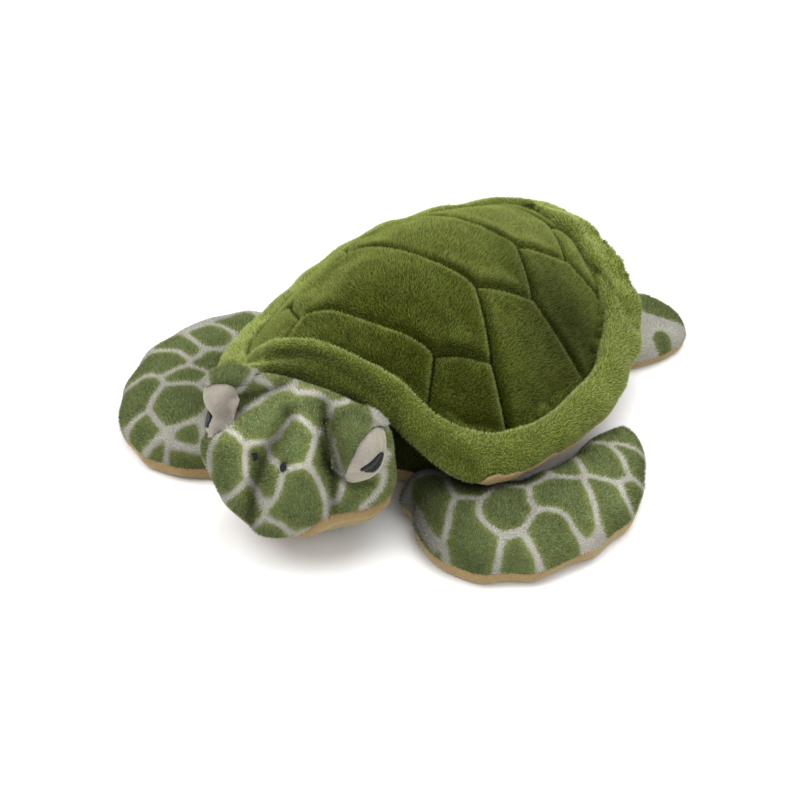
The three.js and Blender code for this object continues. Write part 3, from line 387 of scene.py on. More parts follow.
class Sock:
    """A node's socket that adds, multiplies and eases like a number"""

    def __init__(self, tree, socket):
        self.tree = tree
        self.socket = socket

    def _math(self, kind, *others, flip=False):
        node = self.tree.nodes.new("ShaderNodeMath")
        node.operation = kind
        for place, value in enumerate((*others, self) if flip else (self, *others)):
            put(self.tree, node.inputs[place], value)
        return Sock(self.tree, node.outputs[0])

    def __add__(self, other):
        return self._math("ADD", other)

    __radd__ = __add__

    def __sub__(self, other):
        return self._math("SUBTRACT", other)

    def __rsub__(self, other):
        return self._math("SUBTRACT", other, flip=True)

    def __mul__(self, other):
        return self._math("MULTIPLY", other)

    __rmul__ = __mul__

    def __truediv__(self, other):
        return self._math("DIVIDE", other)

    def __pow__(self, other):
        return self._math("POWER", other)

    def smooth(self, low, high):
        """Eases from 0 at low to 1 at high"""
        node = self.tree.nodes.new("ShaderNodeMapRange")
        node.interpolation_type = "SMOOTHSTEP"
        for name, value in (("Value", self), ("From Min", low), ("From Max", high)):
            put(self.tree, node.inputs[name], value)
        return Sock(self.tree, node.outputs["Result"])


def put(tree, socket, value):
    """Links a socket, or sets its value"""
    if isinstance(value, Sock):
        tree.links.new(value.socket, socket)
    elif hasattr(value, "__len__") and len(value) == 3 and len(socket.default_value) == 4:
        socket.default_value = (*value, 1)
    else:
        socket.default_value = value


class Fabric:
    """One fabric's node tree, with short names for what its recipe uses"""

    SPECULAR = 0.06
    SHEEN_ROUGHNESS = 0.45
    SHEEN_TINT = (0.75, 0.85, 0.5, 1)

    def __init__(self, name, roughness, sheen):
        self.material = bpy.data.materials.new(name)
        self.material.use_nodes = True
        self.tree = self.material.node_tree
        self.shader = self.tree.nodes["Principled BSDF"]
        self.shader.inputs["Roughness"].default_value = roughness
        self.shader.inputs["Specular IOR Level"].default_value = self.SPECULAR
        self.shader.inputs["Sheen Weight"].default_value = sheen
        self.shader.inputs["Sheen Roughness"].default_value = self.SHEEN_ROUGHNESS
        self.shader.inputs["Sheen Tint"].default_value = self.SHEEN_TINT
        self.place = self.make("TexCoord", "Object")

    def make(self, kind, output, **inputs):
        node = self.tree.nodes.new(f"ShaderNode{kind}")
        for name, value in inputs.items():
            put(self.tree, node.inputs[name.replace("_", " ")], value)
        return Sock(self.tree, node.outputs[output])

    def noise(self, scale, detail=2.0):
        return self.make("TexNoise", "Fac", Vector=self.place, Scale=scale, Detail=detail)

    def attribute(self, name):
        node = self.tree.nodes.new("ShaderNodeAttribute")
        node.attribute_name = name
        return Sock(self.tree, node.outputs["Fac"])

    def mix(self, share, low, high):
        node = self.tree.nodes.new("ShaderNodeMix")
        node.data_type = "RGBA"
        put(self.tree, node.inputs[0], share)
        put(self.tree, node.inputs[6], low)
        put(self.tree, node.inputs[7], high)
        return Sock(self.tree, node.outputs[2])

    def scaled(self, colour, factor):
        node = self.tree.nodes.new("ShaderNodeVectorMath")
        node.operation = "SCALE"
        put(self.tree, node.inputs[0], colour)
        put(self.tree, node.inputs["Scale"], factor)
        return Sock(self.tree, node.outputs[0])

    def bump(self, height, distance, strength=1.0):
        node = self.tree.nodes.new("ShaderNodeBump")
        put(self.tree, node.inputs["Height"], height)
        node.inputs["Distance"].default_value = distance
        node.inputs["Strength"].default_value = strength
        self.tree.links.new(node.outputs[0], self.shader.inputs["Normal"])

    def colour(self, value):
        put(self.tree, self.shader.inputs["Base Color"], value)
        return self.material


FABRICS = {}


def plush_fabric(name, dye, deep, grazing_sheen):
    """Plain plush with painted sheen, deep where one looks into the pile and paler along it, and with painted
    shade towards each tuft's root and from its seam numbers
    """
    fabric = Fabric(name, 0.92, 0.06)
    # Painted sheen: the dye is deeper where the pile faces the view and paler where it is seen at a slant
    sheen_facing = fabric.make("LayerWeight", "Facing", Blend=0.5)
    dye = fabric.mix(sheen_facing, tuple(np.multiply(dye, deep)), tuple(np.multiply(dye, grazing_sheen)))
    blotch = fabric.noise(22.0, 3.0) * 0.5 + fabric.noise(90.0, 2.0) * 0.5
    tone = (blotch - 0.5) * 1.2 + (fabric.attribute("tone") - 0.5) * 0.6 + 1.0
    # Painted shade: darker towards each tuft's root, deep in the pile
    depth = fabric.attribute("tip") * 1.05 + 0.2
    # The seam numbers are painted shade: in the quilting seams' grooves, on the dome's left flank, in the
    # brim's grooves and fold, and on the collar's lower lobe
    seam = fabric.attribute("seam").smooth(0.4, 2.4) * 0.85 + 0.15
    return fabric.colour(fabric.scaled(dye, tone * depth * seam))


def printed_fabric(name):
    """Skin plush: green patches, yellower and softer at their edges, on cream, with painted light where it
    faces the view and painted shade at the tufts' roots and from its fold numbers
    """
    colours = settings("colours")
    fabric = Fabric(name, 0.9, 0.05)
    edge = fabric.attribute("cell") + (fabric.noise(260.0, 2.0) - 0.5) * 2.2
    heart = fabric.mix(edge.smooth(0.8, 5.0), tuple(colours.patch_edge), tuple(colours.patch))
    cloth = fabric.mix(edge.smooth(-1.5, 1.3), tuple(colours.ground), heart)
    blotch = (fabric.noise(35.0, 3.0) - 0.5) * 0.7
    speck = (fabric.attribute("tone") - 0.5) * (edge.smooth(-1.0, 3.0) * 0.9 + 0.2)
    # Painted light: brighter where the skin faces the view, darker where it is seen at a slant
    tone = (speck + blotch + 1.0) * (1.24 - fabric.make("LayerWeight", "Facing", Blend=0.5) * 0.6)
    # Painted shade: darker towards each tuft's root, deep in the pile
    depth = fabric.attribute("tip") * 0.62 + 0.52
    # The fold numbers are painted shade: in the face's folds, on the lids and towards the flippers' roots
    return fabric.colour(fabric.scaled(cloth, tone * depth * fabric.attribute("fold")))


def velour_fabric(name, dye):
    """Short smooth pile: fine grain and faint streaks"""
    fabric = Fabric(name, 0.82, 0.3)
    grain_tone = fabric.noise(420.0, 3.0)
    tone = (grain_tone - 0.5) * 0.5 + (fabric.noise(40.0) - 0.5) * 0.35 + 1.0
    fabric.bump(grain_tone, 0.0004, 0.6)
    return fabric.colour(fabric.scaled(dye, tone))


def felt_fabric(name, dye):
    """Dense embroidery thread, near black"""
    fabric = Fabric(name, 0.6, 0.1)
    wave = fabric.noise(900.0, 1.0)
    fabric.bump(wave, 0.0003, 0.8)
    return fabric.colour(fabric.scaled(dye, wave + 0.6))


def fibre_fabric(name, dye):
    """Loose white stuffing"""
    fabric = Fabric(name, 0.95, 0.3)
    cloud = fabric.noise(160.0, 4.0)
    fabric.bump(cloud, 0.002, 0.8)
    return fabric.colour(fabric.scaled(dye, cloud * 0.3 + 0.8))


def make_fabrics():
    """Every fabric, once"""
    colours = settings("colours")
    FABRICS["shell_plush"] = plush_fabric("Shell plush", tuple(colours.shell), *SHELL_SHEEN_SHARES)
    FABRICS["brim_plush"] = plush_fabric("Brim plush", tuple(colours.brim), *BRIM_SHEEN_SHARES)
    FABRICS["neck_plush"] = plush_fabric("Neck plush", tuple(colours.body), *NECK_SHEEN_SHARES)
    FABRICS["skin_plush"] = printed_fabric("Printed plush")
    FABRICS["tan_velour"] = velour_fabric("Tan velour", tuple(colours.tan))
    FABRICS["cream_velour"] = velour_fabric("Cream velour", tuple(colours.eye))
    FABRICS["black_felt"] = felt_fabric("Black thread", tuple(colours.thread))
    FABRICS["fibre_fill"] = fibre_fabric("Stuffing", tuple(colours.stuffing))


# Meshes
def only(obj):
    """Selects one object and nothing else"""
    bpy.ops.object.select_all(action="DESELECT")
    obj.select_set(True)
    bpy.context.view_layer.objects.active = obj
    return obj


def new_object(name, verts, faces):
    """A new object in the scene from lists of points and faces"""
    mesh = bpy.data.meshes.new(name)
    mesh.from_pydata(verts, [], faces)
    obj = bpy.data.objects.new(name, mesh)
    bpy.context.scene.collection.objects.link(obj)
    return obj


def copied(obj, name):
    """A copy with a mesh of its own"""
    other = obj.copy()
    other.data = obj.data.copy()
    other.name = name
    bpy.context.scene.collection.objects.link(other)
    return other


def places(obj):
    """The points of an object's mesh, as rows"""
    flat = np.empty(len(obj.data.vertices) * 3)
    obj.data.vertices.foreach_get("co", flat)
    return flat.reshape(-1, 3)


def place(obj, points):
    """Moves an object's points to rows of places"""
    obj.data.vertices.foreach_set("co", np.ascontiguousarray(points, dtype=np.float32).ravel())
    obj.data.update()


def normals(obj):
    """The normals of an object's points, as rows"""
    flat = np.empty(len(obj.data.vertices) * 3)
    obj.data.vertex_normals.foreach_get("vector", flat)
    return flat.reshape(-1, 3)


def cad_surface(nodes):
    """Points and faces of several CAD nodes, as lists"""
    verts, faces = [], []
    for node in nodes:
        start = len(verts)
        mesh = CAD[node].data
        verts += [vert.co.copy() for vert in mesh.vertices]
        faces += [[start + index for index in poly.vertices] for poly in mesh.polygons]
    return verts, faces


def tree_of(nodes):
    """A search tree on the surfaces of CAD nodes"""
    return BVHTree.FromPolygons(*cad_surface(nodes))


def form_tree(form):
    """A search tree on a form's surface"""
    faces = [tuple(poly.vertices) for poly in form.data.polygons]
    return BVHTree.FromPolygons([vert.co for vert in form.data.vertices], faces)


def joined(name, nodes):
    """One new mesh from copies of the CAD nodes' own meshes, with their doubles merged"""
    obj = only(new_object(name, *cad_surface(nodes)))
    bpy.ops.object.mode_set(mode="EDIT")
    bpy.ops.mesh.select_all(action="SELECT")
    bpy.ops.mesh.remove_doubles(threshold=MERGE_GAP)
    bpy.ops.object.mode_set(mode="OBJECT")
    return obj


def apply_modifier(obj, kind, **values):
    """Adds a modifier with its values and applies it"""
    modifier = obj.modifiers.new(kind.title(), kind)
    for name, value in values.items():
        setattr(modifier, name, value)
    only(obj)
    bpy.ops.object.modifier_apply(modifier=modifier.name)
    return obj


def smoothed(obj, rounds):
    """Smooths a mesh a number of times"""
    return apply_modifier(obj, "SMOOTH", factor=0.5, iterations=rounds)


def remeshed(obj, voxel):
    """Rebuilds a closed form with even faces"""
    only(obj)
    obj.data.remesh_voxel_size = voxel
    obj.data.remesh_voxel_adaptivity = 0
    bpy.ops.object.voxel_remesh()
    return keep_outer(obj)


def keep_outer(obj):
    """Drops any sealed bubble inside a remeshed form"""
    work = bmesh.new()
    work.from_mesh(obj.data)
    islands = []
    left = set(work.verts)
    while left:
        stack = [left.pop()]
        island = set(stack)
        while stack:
            for edge in stack.pop().link_edges:
                for vert in edge.verts:
                    if vert in left:
                        left.discard(vert)
                        island.add(vert)
                        stack.append(vert)
        islands.append(island)
    islands.sort(key=len, reverse=True)
    for island in islands[1:]:
        bmesh.ops.delete(work, geom=list(island), context="VERTS")
    work.to_mesh(obj.data)
    work.free()
    return obj


def swollen(obj, cap=None):
    """Swells a closed form with air pressure, no point moving further than the cap"""
    cloth = settings("cloth")
    cap = cloth.swell_cap if cap is None else cap
    before = places(obj)
    modifier = obj.modifiers.new("Cloth", "CLOTH")
    modifier.settings.use_pressure = True
    modifier.settings.uniform_pressure_force = cloth.pressure
    modifier.settings.effector_weights.gravity = 0
    modifier.settings.quality = 4
    modifier.settings.tension_stiffness = 20
    modifier.settings.compression_stiffness = 20
    modifier.point_cache.frame_start = 1
    modifier.point_cache.frame_end = cloth.frames
    scene = bpy.context.scene
    for number in range(1, cloth.frames + 1):
        scene.frame_set(number)
    graph = bpy.context.evaluated_depsgraph_get()
    swelled = obj.evaluated_get(graph).to_mesh()
    after = np.empty(len(swelled.vertices) * 3)
    swelled.vertices.foreach_get("co", after)
    obj.evaluated_get(graph).to_mesh_clear()
    obj.modifiers.remove(modifier)
    scene.frame_set(1)
    step = after.reshape(-1, 3) - before
    reach = np.linalg.norm(step, axis=1, keepdims=True)
    place(obj, before + step * np.minimum(1, cap / np.maximum(reach, 1e-9)))
    return obj


def soft_form(name, nodes, voxel, smooth=3, cap=None, inset=0.0, even=0):
    """Closed stuffed form from CAD nodes: remeshed, swollen, smoothed, drawn in by the pile and subdivided"""
    obj = remeshed(joined(name, nodes), voxel)
    smoothed(swollen(obj, cap), smooth)
    evened(obj, even)
    apply_modifier(obj, "SUBSURF", levels=1, render_levels=1)
    return push(obj, -inset)


def evened(obj, rounds):
    """Evens out corners without shrinking the form, by steps inwards and outwards in turn"""
    count = len(obj.data.vertices)
    ends = np.empty(len(obj.data.edges) * 2, np.int32)
    obj.data.edges.foreach_get("vertices", ends)
    one, two = ends.reshape(-1, 2).T
    ways = np.bincount(one, minlength=count) + np.bincount(two, minlength=count)
    points = places(obj)
    inwards, outwards = 0.6, -0.62
    for number in range(rounds * 2):
        pull = np.stack([np.bincount(one, points[two, k], count) + np.bincount(two, points[one, k], count)
                         for k in range(3)], 1) / ways[:, None] - points
        points = points + pull * (inwards if number % 2 == 0 else outwards)
    place(obj, points)
    return obj


def push(obj, amount):
    """Moves each point along its own normal, by one amount or by an amount for each point"""
    place(obj, places(obj) + normals(obj) * np.asarray(amount).reshape(-1, 1))
    return obj


def ease_rim(work, rounds):
    """Smooths the open edges of a surface along themselves"""
    for _ in range(rounds):
        moves = {}
        for vert in {v for edge in work.edges if edge.is_boundary for v in edge.verts}:
            beside = [edge.other_vert(vert).co for edge in vert.link_edges if edge.is_boundary]
            if len(beside) == 2:
                moves[vert] = vert.co.lerp((beside[0] + beside[1]) / 2, 0.5)
        for vert, spot in moves.items():
            vert.co = spot


def evened_choice(pairs, kept, rounds=10):
    """Evens out which points or faces are kept by their neighbours' choice, so that no ragged edge is left"""
    kept = np.array(kept, float)
    either = np.concatenate([pairs, pairs[:, ::-1]])
    beside = np.bincount(either[:, 0], minlength=len(kept))
    for _ in range(rounds):
        kept = (kept + np.bincount(either[:, 0], kept[either[:, 1]], len(kept))) / (1 + beside)
    return kept > 0.5


def split_along(form, name, keep, ease=8):
    """The part of a form's surface whose faces a rule keeps, with an eased edge"""
    obj = copied(form, name)
    work = bmesh.new()
    work.from_mesh(obj.data)
    centres = np.array([face.calc_center_median() for face in work.faces])
    work.faces.index_update()
    inner = [edge for edge in work.edges if len(edge.link_faces) == 2]
    pairs = np.array([[face.index for face in edge.link_faces] for edge in inner])
    kept = evened_choice(pairs, keep(centres))
    bmesh.ops.delete(work, geom=[face for face, stays in zip(work.faces, kept) if not stays], context="FACES")
    ease_rim(work, ease)
    work.to_mesh(obj.data)
    work.free()
    return obj


def part_of(form, name, mine, others, ease, more=lambda spot: 0.0):
    """The part of a form's surface that lies nearest the CAD nodes in mine, spread further by a rule"""
    near, far = tree_of(mine), tree_of(others)

    def keep(centres):
        return [near.find_nearest(spot)[3] <= far.find_nearest(spot)[3] + more(spot)
                for spot in map(Vector, centres)]
    return split_along(form, name, keep, ease)


def split_level(form, name, level, upper):
    """The half of a form above or below a level, as an open surface with a straight edge"""
    only(copied(form, name))
    bpy.ops.object.mode_set(mode="EDIT")
    bpy.ops.mesh.select_all(action="SELECT")
    bpy.ops.mesh.bisect(plane_co=(0, 0, level), plane_no=(0, 0, 1), clear_inner=upper, clear_outer=not upper)
    bpy.ops.object.mode_set(mode="OBJECT")
    return bpy.context.object


def closed_cover(obj, thickness=None):
    """Gives an open surface its cloth thickness, inwards"""
    thickness = settings("cloth").thickness if thickness is None else thickness
    return apply_modifier(
        obj, "SOLIDIFY", thickness=thickness, offset=-1.0, use_rim=True, use_even_offset=False)


def write(obj, name, values):
    """Stores one number for each vertex"""
    if name in obj.data.attributes:
        obj.data.attributes.remove(obj.data.attributes[name])
    layer = obj.data.attributes.new(name, "FLOAT", "POINT")
    layer.data.foreach_set("value", np.ascontiguousarray(values, dtype=np.float32))


def finish_piece(obj, slot, body, *nodes, fill=None, smooth=True):
    """Material, body, CAD nodes that it stands for, and its shading"""
    if not FABRICS:
        make_fabrics()
    obj.data.materials.clear()
    obj.data.materials.append(FABRICS[slot])
    if smooth:
        only(obj)
        bpy.ops.object.shade_smooth()
    if nodes:
        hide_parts(*nodes)
    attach(obj, body)
    return obj


def backing(cover, fields):
    """The cloth under the pile: deep in shade, with the same print"""
    points, tilts = places(cover), normals(cover)
    for field, value in fields.items():
        write(cover, field, value(points, tilts))
    write(cover, "tip", np.full(len(points), 0.05))
    write(cover, "tone", np.full(len(points), 0.5))


def finish_cover(obj, slot, body, node, fields=None, thickness=None, fill=COVER_FILL):
    """Shades an open cover under its pile, gives it its thickness and finishes it"""
    if fields is not None:
        backing(obj, fields)
    closed_cover(obj, thickness)
    return finish_piece(obj, slot, body, node, fill=fill)


# Prints, seams and folds, as numbers at points
def rounded(outline):
    """Cuts an outline's corners twice"""
    points = np.array(outline, float)
    for _ in range(2):
        after = np.roll(points, -1, axis=0)
        points = np.stack([points * 0.75 + after * 0.25, points * 0.25 + after * 0.75], 1).reshape(-1, 2)
    return points


def inside_depth(spots, outline):
    """How far each spot lies inside an outline, below zero outside it"""
    start = rounded(outline)
    end = np.roll(start, -1, axis=0)
    step = end - start
    off = spots[:, None] - start[None]
    share = np.clip((off * step).sum(2) / np.maximum((step**2).sum(1), 1e-12), 0, 1)
    reach = np.linalg.norm(off - share[..., None] * step, axis=2).min(1)
    above = (start[:, 1] > spots[:, 1:2]) != (end[:, 1] > spots[:, 1:2])
    rise = np.where(step[:, 1] == 0, 1e-9, step[:, 1])
    cross = start[:, 0] + (spots[:, 1:2] - start[:, 1]) * step[:, 0] / rise
    inside = (above & (spots[:, :1] < cross)).sum(1) % 2 == 1
    return np.where(inside, reach, -reach)


def print_depth(spots, outlines, grow, line):
    """Depth inside the patches, which spread until a narrow cream line is left between neighbours"""
    depths = np.sort([inside_depth(spots, outline) for outline in outlines], axis=0)
    return np.minimum(depths[-1] + grow, (depths[-1] - depths[-2]) / 2 - line)


def plan_print(outlines, mirror):
    """A flipper's print, by each point's place in plan"""
    def depth(points, _):
        spots = points[:, :2] / MM * (MIRROR[:2] if mirror else 1)
        return print_depth(spots, outlines, *PLAN_SPREAD)
    return depth


def head_chart(points):
    """Places on the head's chart, in millimetres"""
    off = (points - HEAD_CENTRE) / MM
    return np.stack([off @ HEAD_SIDE, off @ HEAD_RISE], 1)


def head_print(points, facing):
    """Patches seen from the left front, and their mirror image on the side that faces away"""
    def depth(spots):
        brow = BROW_BAND - line_gap(spots, BROW_FOLD[1:4])
        return np.maximum(print_depth(spots, HEAD_PRINT, *HEAD_SPREAD), brow)

    share = np.clip((facing @ HEAD_LOOK + 0.05) / 0.1, 0, 1)
    return depth(head_chart(points)) * share + depth(head_chart(points * MIRROR)) * (1 - share)


def seam_segments():
    """Both ends of every quilting seam, on both sides and across the middle"""
    ends = []
    for first, second in SCUTE_SEAMS:
        for flip in (1, -1):
            ends.append([(SCUTE_CORNERS[name][0] * flip, SCUTE_CORNERS[name][1]) for name in (first, second)])
    ends += [[(-SCUTE_CORNERS[name][0], SCUTE_CORNERS[name][1]), SCUTE_CORNERS[name]] for name in CROSS_SEAMS]
    return np.array(ends, float)


def seam_distance(points):
    """Distance in plan to the nearest quilting seam, in millimetres, with the seams bowed slightly as sewn"""
    spots = points[:, :2] / MM
    spots = spots + np.stack([1.3 * np.sin(spots[:, 1] / 11), 1.3 * np.sin(spots[:, 0] / 13 + 1)], 1)
    ends = seam_segments()
    step = ends[:, 1] - ends[:, 0]
    off = spots[:, None] - ends[None, :, 0]
    share = np.clip((off * step).sum(2) / (step**2).sum(1), 0, 1)
    return np.linalg.norm(off - share[..., None] * step, axis=2).min(1)


def line_gap(spots, line):
    """Distance from each spot to a line of points, in the same units"""
    ends = np.array(line, float)
    start, step = ends[:-1], ends[1:] - ends[:-1]
    off = spots[:, None] - start[None]
    share = np.clip((off * step).sum(2) / (step**2).sum(1), 0, 1)
    return np.linalg.norm(off - share[..., None] * step, axis=2).min(1)


def bell(distance, width):
    """1 at no distance, easing to 0 past the width"""
    return np.exp(-((distance / width) ** 2))


def unit(vectors):
    """The same directions at length 1"""
    return vectors / np.linalg.norm(vectors, axis=1, keepdims=True)


# Plush pile
def planted(cover, dense, region, random):
    """Spreads roots evenly over a cover: their places, and the cloth's normals there"""
    mesh = cover.data
    mesh.calc_loop_triangles()
    count = len(mesh.loop_triangles)
    corners = np.empty(count * 3, np.int32)
    mesh.loop_triangles.foreach_get("vertices", corners)
    corners = corners.reshape(-1, 3)
    points, tilts = places(cover), normals(cover)
    first, second, third = (points[corners[:, k]] for k in range(3))
    area = np.linalg.norm(np.cross(second - first, third - first), axis=1) / 2 / MM**2
    if region is not None:
        area = area * region((first + second + third) / 3, tilts[corners].mean(1))
    total = int(area.sum() * settings("pile").dense * dense)
    if total < 1:
        raise RuntimeError(f"{cover.name}: no room for a tuft")
    marks = (np.arange(total) + random.rand(total)) / total * area.sum()
    face = np.minimum(np.searchsorted(np.cumsum(area), marks), count - 1)
    u, v = random.rand(2, total)
    over = u + v > 1
    u, v = np.where(over, 1 - u, u), np.where(over, 1 - v, v)
    weights = np.stack([1 - u - v, u, v], 1)[..., None]
    return (points[corners[face]] * weights).sum(1), unit((tilts[corners[face]] * weights).sum(1))


def tuft_mesh(name, verts):
    """Closed spikes of four faces from rows of four points, each with its own cell for the bake"""
    total = len(verts)
    faces = np.array([(0, 2, 1), (0, 1, 3), (1, 2, 3), (2, 0, 3)])
    loops = (np.arange(total)[:, None, None] * 4 + faces).reshape(-1)
    mesh = bpy.data.meshes.new(name)
    mesh.vertices.add(total * 4)
    mesh.vertices.foreach_set("co", verts.astype(np.float32).ravel())
    mesh.loops.add(len(loops))
    mesh.loops.foreach_set("vertex_index", loops.astype(np.int32))
    mesh.polygons.add(total * 4)
    mesh.polygons.foreach_set("loop_start", np.arange(total * 4, dtype=np.int32) * 3)
    mesh.update(calc_edges=True)
    mesh.validate()
    cells = math.ceil(math.sqrt(total))
    where = np.stack([np.arange(total) % cells, np.arange(total) // cells], 1)[:, None] + TUFT_CHART
    chart = (where / cells).reshape(-1, 2)[loops]
    mesh.uv_layers.new(name="OFBake").data.foreach_set("uv", chart.astype(np.float32).ravel())
    return mesh


def pile(name, cover, length, lean, fields, body, slot, dense, region=None, shorten=None):
    """Plants tufts over a cover; lean gives the way they lie, fields the numbers that the fabric reads"""
    random = np.random.RandomState(SEEDS[name])
    root, up = planted(cover, dense, region, random)
    total = len(root)
    way = unit(lean(root, up) + random.normal(0, TUFT_WILD, (total, 3)) + up)
    tall = length * random.uniform(0.72, 1.12, total)
    if shorten is not None:
        tall *= shorten(root, up)
    side = unit(np.cross(way, random.normal(0, 1, (total, 3))))
    other = np.cross(way, side)
    half = settings("pile").width / 2 * random.uniform(0.8, 1.25, total)[:, None]
    base = root - up * TUFT_SUNK
    verts = np.empty((total, 4, 3))
    for k in range(3):
        turn = 2 * math.pi * k / 3
        verts[:, k] = base + half * (math.cos(turn) * side + math.sin(turn) * other)
    verts[:, 3] = base + way * (tall[:, None] + TUFT_SUNK)
    tufts = tuft_mesh(name, verts)
    obj = bpy.data.objects.new(name, tufts)
    bpy.context.scene.collection.objects.link(obj)
    write(obj, "tip", np.tile((0, 0, 0, 1), total))
    write(obj, "tone", np.repeat(random.rand(total), 4))
    for field, value in fields.items():
        write(obj, field, np.repeat(value(root, up), 4))
    soft = unit(up * 0.8 + way * 0.45)
    tufts.normals_split_custom_set_from_vertices(np.repeat(soft, 4, axis=0).tolist())
    return finish_piece(obj, slot, body, smooth=False)


def between(axis, low, high, tilt=-2):
    """Region of a cover between two places on an axis, where the cloth faces up by more than a tilt"""
    def region(points, up):
        return (points[:, axis] >= low) & (points[:, axis] < high) & (up[:, 2] > tilt)
    return region


def plain_fields():
    """Numbers of a plush without seams or painted shade"""
    return {"seam": lambda points, _: np.full(len(points), 9.0)}


def swept(direction, amount):
    """The pile lies along a direction, as if stroked"""
    way = np.array(direction, float)

    def lean(_, up):
        return (way - (up @ way)[:, None] * up) * amount
    return lean


# Pieces
def stuffing(node, body, inside, inset=0.0025, clear=0.0018, first=None):
    """A filling: a lumpy closed form that stays clear inside its cover"""
    voxel = FILLING_VOXELS.get(node, LIMB_FILLING_VOXEL)
    obj = smoothed(remeshed(joined(node.capitalize(), [node]), voxel), 3)
    if first is not None:
        first(obj)
    points = places(obj)
    lumps = np.sin(points[:, 0] * 260) * np.sin(points[:, 1] * 230 + 1) * np.sin(points[:, 2] * 300 + 2)
    push(obj, -inset + FILLING_LUMPS * lumps)
    for _ in range(3):
        kept = []
        for spot in map(Vector, places(obj)):
            near, normal, _, _ = inside.find_nearest(spot)
            short = clear - (near - spot).dot(normal)
            kept.append(spot - normal * short if short > 0 else spot)
        place(obj, np.array(kept))
    return finish_piece(obj, "fibre_fill", body, node, fill=STUFFING_FILL)


def sagged(obj):
    """Lets the middle of the quilt lie flatter between the front seams' corners"""
    spots = places(obj) / MM
    sag = sum(deep * bell(spots[:, 1] - middle, reach) for middle, reach, deep in QUILT_SAGS)
    place(obj, places(obj) - (sag * bell(spots[:, 0], SAG_WIDTH) * MM)[:, None] * np.array((0, 0, 1)))
    return obj


def quilt_shade(points, _):
    """Distance from the seams, held low on the dome's shaded left flank"""
    aside = np.linalg.norm(points[:, :2] / MM - (104, 62), axis=1)
    return np.minimum(seam_distance(points), 2.4 - 1.3 * bell(aside, 52))


def build_shell():
    """Quilted dome: swollen quilt, pillows between drawn-in seams, and its pile"""
    cloth = settings("cloth")
    form = soft_form("Shell_panel", ["shell_panel", "shell_wadding"], VOXELS["shell"], smooth=10, inset=0.002)
    gap = seam_distance(places(form))
    rise = np.clip(normals(form)[:, 2] * 4, 0, 1)
    lift = cloth.pillow * (bell(gap, PILLOW_REACH) - bell(gap, PILLOW_EDGE))
    lift = lift - cloth.flatten * (1 - bell(gap, FLAT_REACH))
    lift -= cloth.seam_depth * bell(gap, cloth.seam_width / MM)
    push(form, lift * rise + np.interp(places(form)[:, 1], *SHELL_RIM_OUT) * (1 - rise))
    sagged(form)
    inside = form_tree(form)
    upper = copied(form, "Shell_surface")
    # The shell's seam numbers: painted shade in the quilting seams' grooves and on the dome's left flank
    fields = {"seam": quilt_shade}
    backing(form, fields)
    finish_piece(form, "shell_plush", "root", "shell_panel", fill=FIRM_FILL)

    def flow(points, up):
        aside, along = 0.2 * np.sin(points[:, 1] * 28), 0.3 + 0.15 * np.sin(points[:, 0] * 31)
        swirl = np.stack([aside, along, np.zeros(len(points))], 1)
        return swirl - (swirl * up).sum(1, keepdims=True) * up

    def short(points, _):
        return 0.45 + 0.55 * np.clip(seam_distance(points) / 4, 0, 1)

    for number, (low, high) in enumerate(((-1, 0.02), (0.02, 0.10), (0.10, 1))):
        pile(f"Shell_pile_{number + 1}", upper, settings("pile").shell_length, flow, fields, "root",
             "shell_plush", dense=1.4, region=between(1, low, high, tilt=0.02), shorten=short)
    bpy.data.objects.remove(upper)
    stuffing("shell_wadding", "root", inside, inset=0.001, clear=0.003, first=sagged)


def shape_brim(form):
    """Draws the brim's inner edge in, rolls the collar and drapes its front"""
    spots = places(form) / MM
    outward = (normals(form) * spots * np.array((1, 1, 0))).sum(1) - 30 * normals(form)[:, 1]
    inner = np.clip(-outward / 60, 0, 1)
    push(form, inner * np.interp(spots[:, 1], *BRIM_INNER_OUT))
    spots = places(form) / MM
    rolls = sum(high * bell(line_gap(spots, line), reach) for line, high, reach in BRIM_ROLLS)
    lumps = np.sin(spots[:, 0] / 9) * np.sin(spots[:, 1] / 11 + 1)
    lumps = lumps + np.sin(spots[:, 1] / 7 + 2) * np.sin(spots[:, 0] / 13)
    push(form, (rolls + np.interp(spots[:, 1], *BRIM_LUMPS) * lumps) * MM)
    spots = places(form) / MM
    low = np.clip((np.interp(np.abs(spots[:, 0]), *DRAPE_LEVEL) - spots[:, 2]) / 10, 0, 1)
    front = np.clip((-70 - spots[:, 1]) / 12, 0, 1)
    place(form, places(form) + (low * front)[:, None] * np.array(DRAPE))
    return smoothed(remeshed(form, VOXELS["brim_fine"]), 3)


def brim_wrap(spot):
    """How much further than in the CAD the plush reaches round the brim's edge at a place, in metres"""
    if spot.y > 0.06:
        return REAR_WRAP * min((spot.y - 0.06) / 0.02, 1) + SIDE_WRAP
    front = min(max((-spot.y - 0.055) / 0.02, 0), 1) * min(max((0.118 - abs(spot.x)) / 0.015, 0), 1)
    return FRONT_WRAP * front + SIDE_WRAP * (1 - front)


def collar_shade(points, _):
    """Low in the collar's groove, on the lobe under it and in the fold near the tail"""
    points = points / MM
    deep = np.interp(points[:, 0], *np.array(COLLAR_GROOVE)[:, (0, 2)].T)
    lobe = np.clip((deep - points[:, 2]) / 4, 0, 1) * np.clip((-85 - points[:, 1]) / 8, 0, 1)
    lobe *= np.clip((72 - np.abs(points[:, 0])) / 20, 0, 1)
    folds = np.minimum(line_gap(points, COLLAR_GROOVE), 1 + line_gap(points, TAIL_FOLD))
    return np.minimum(0.7 + 0.28 * folds, 3 - 1.5 * lobe)


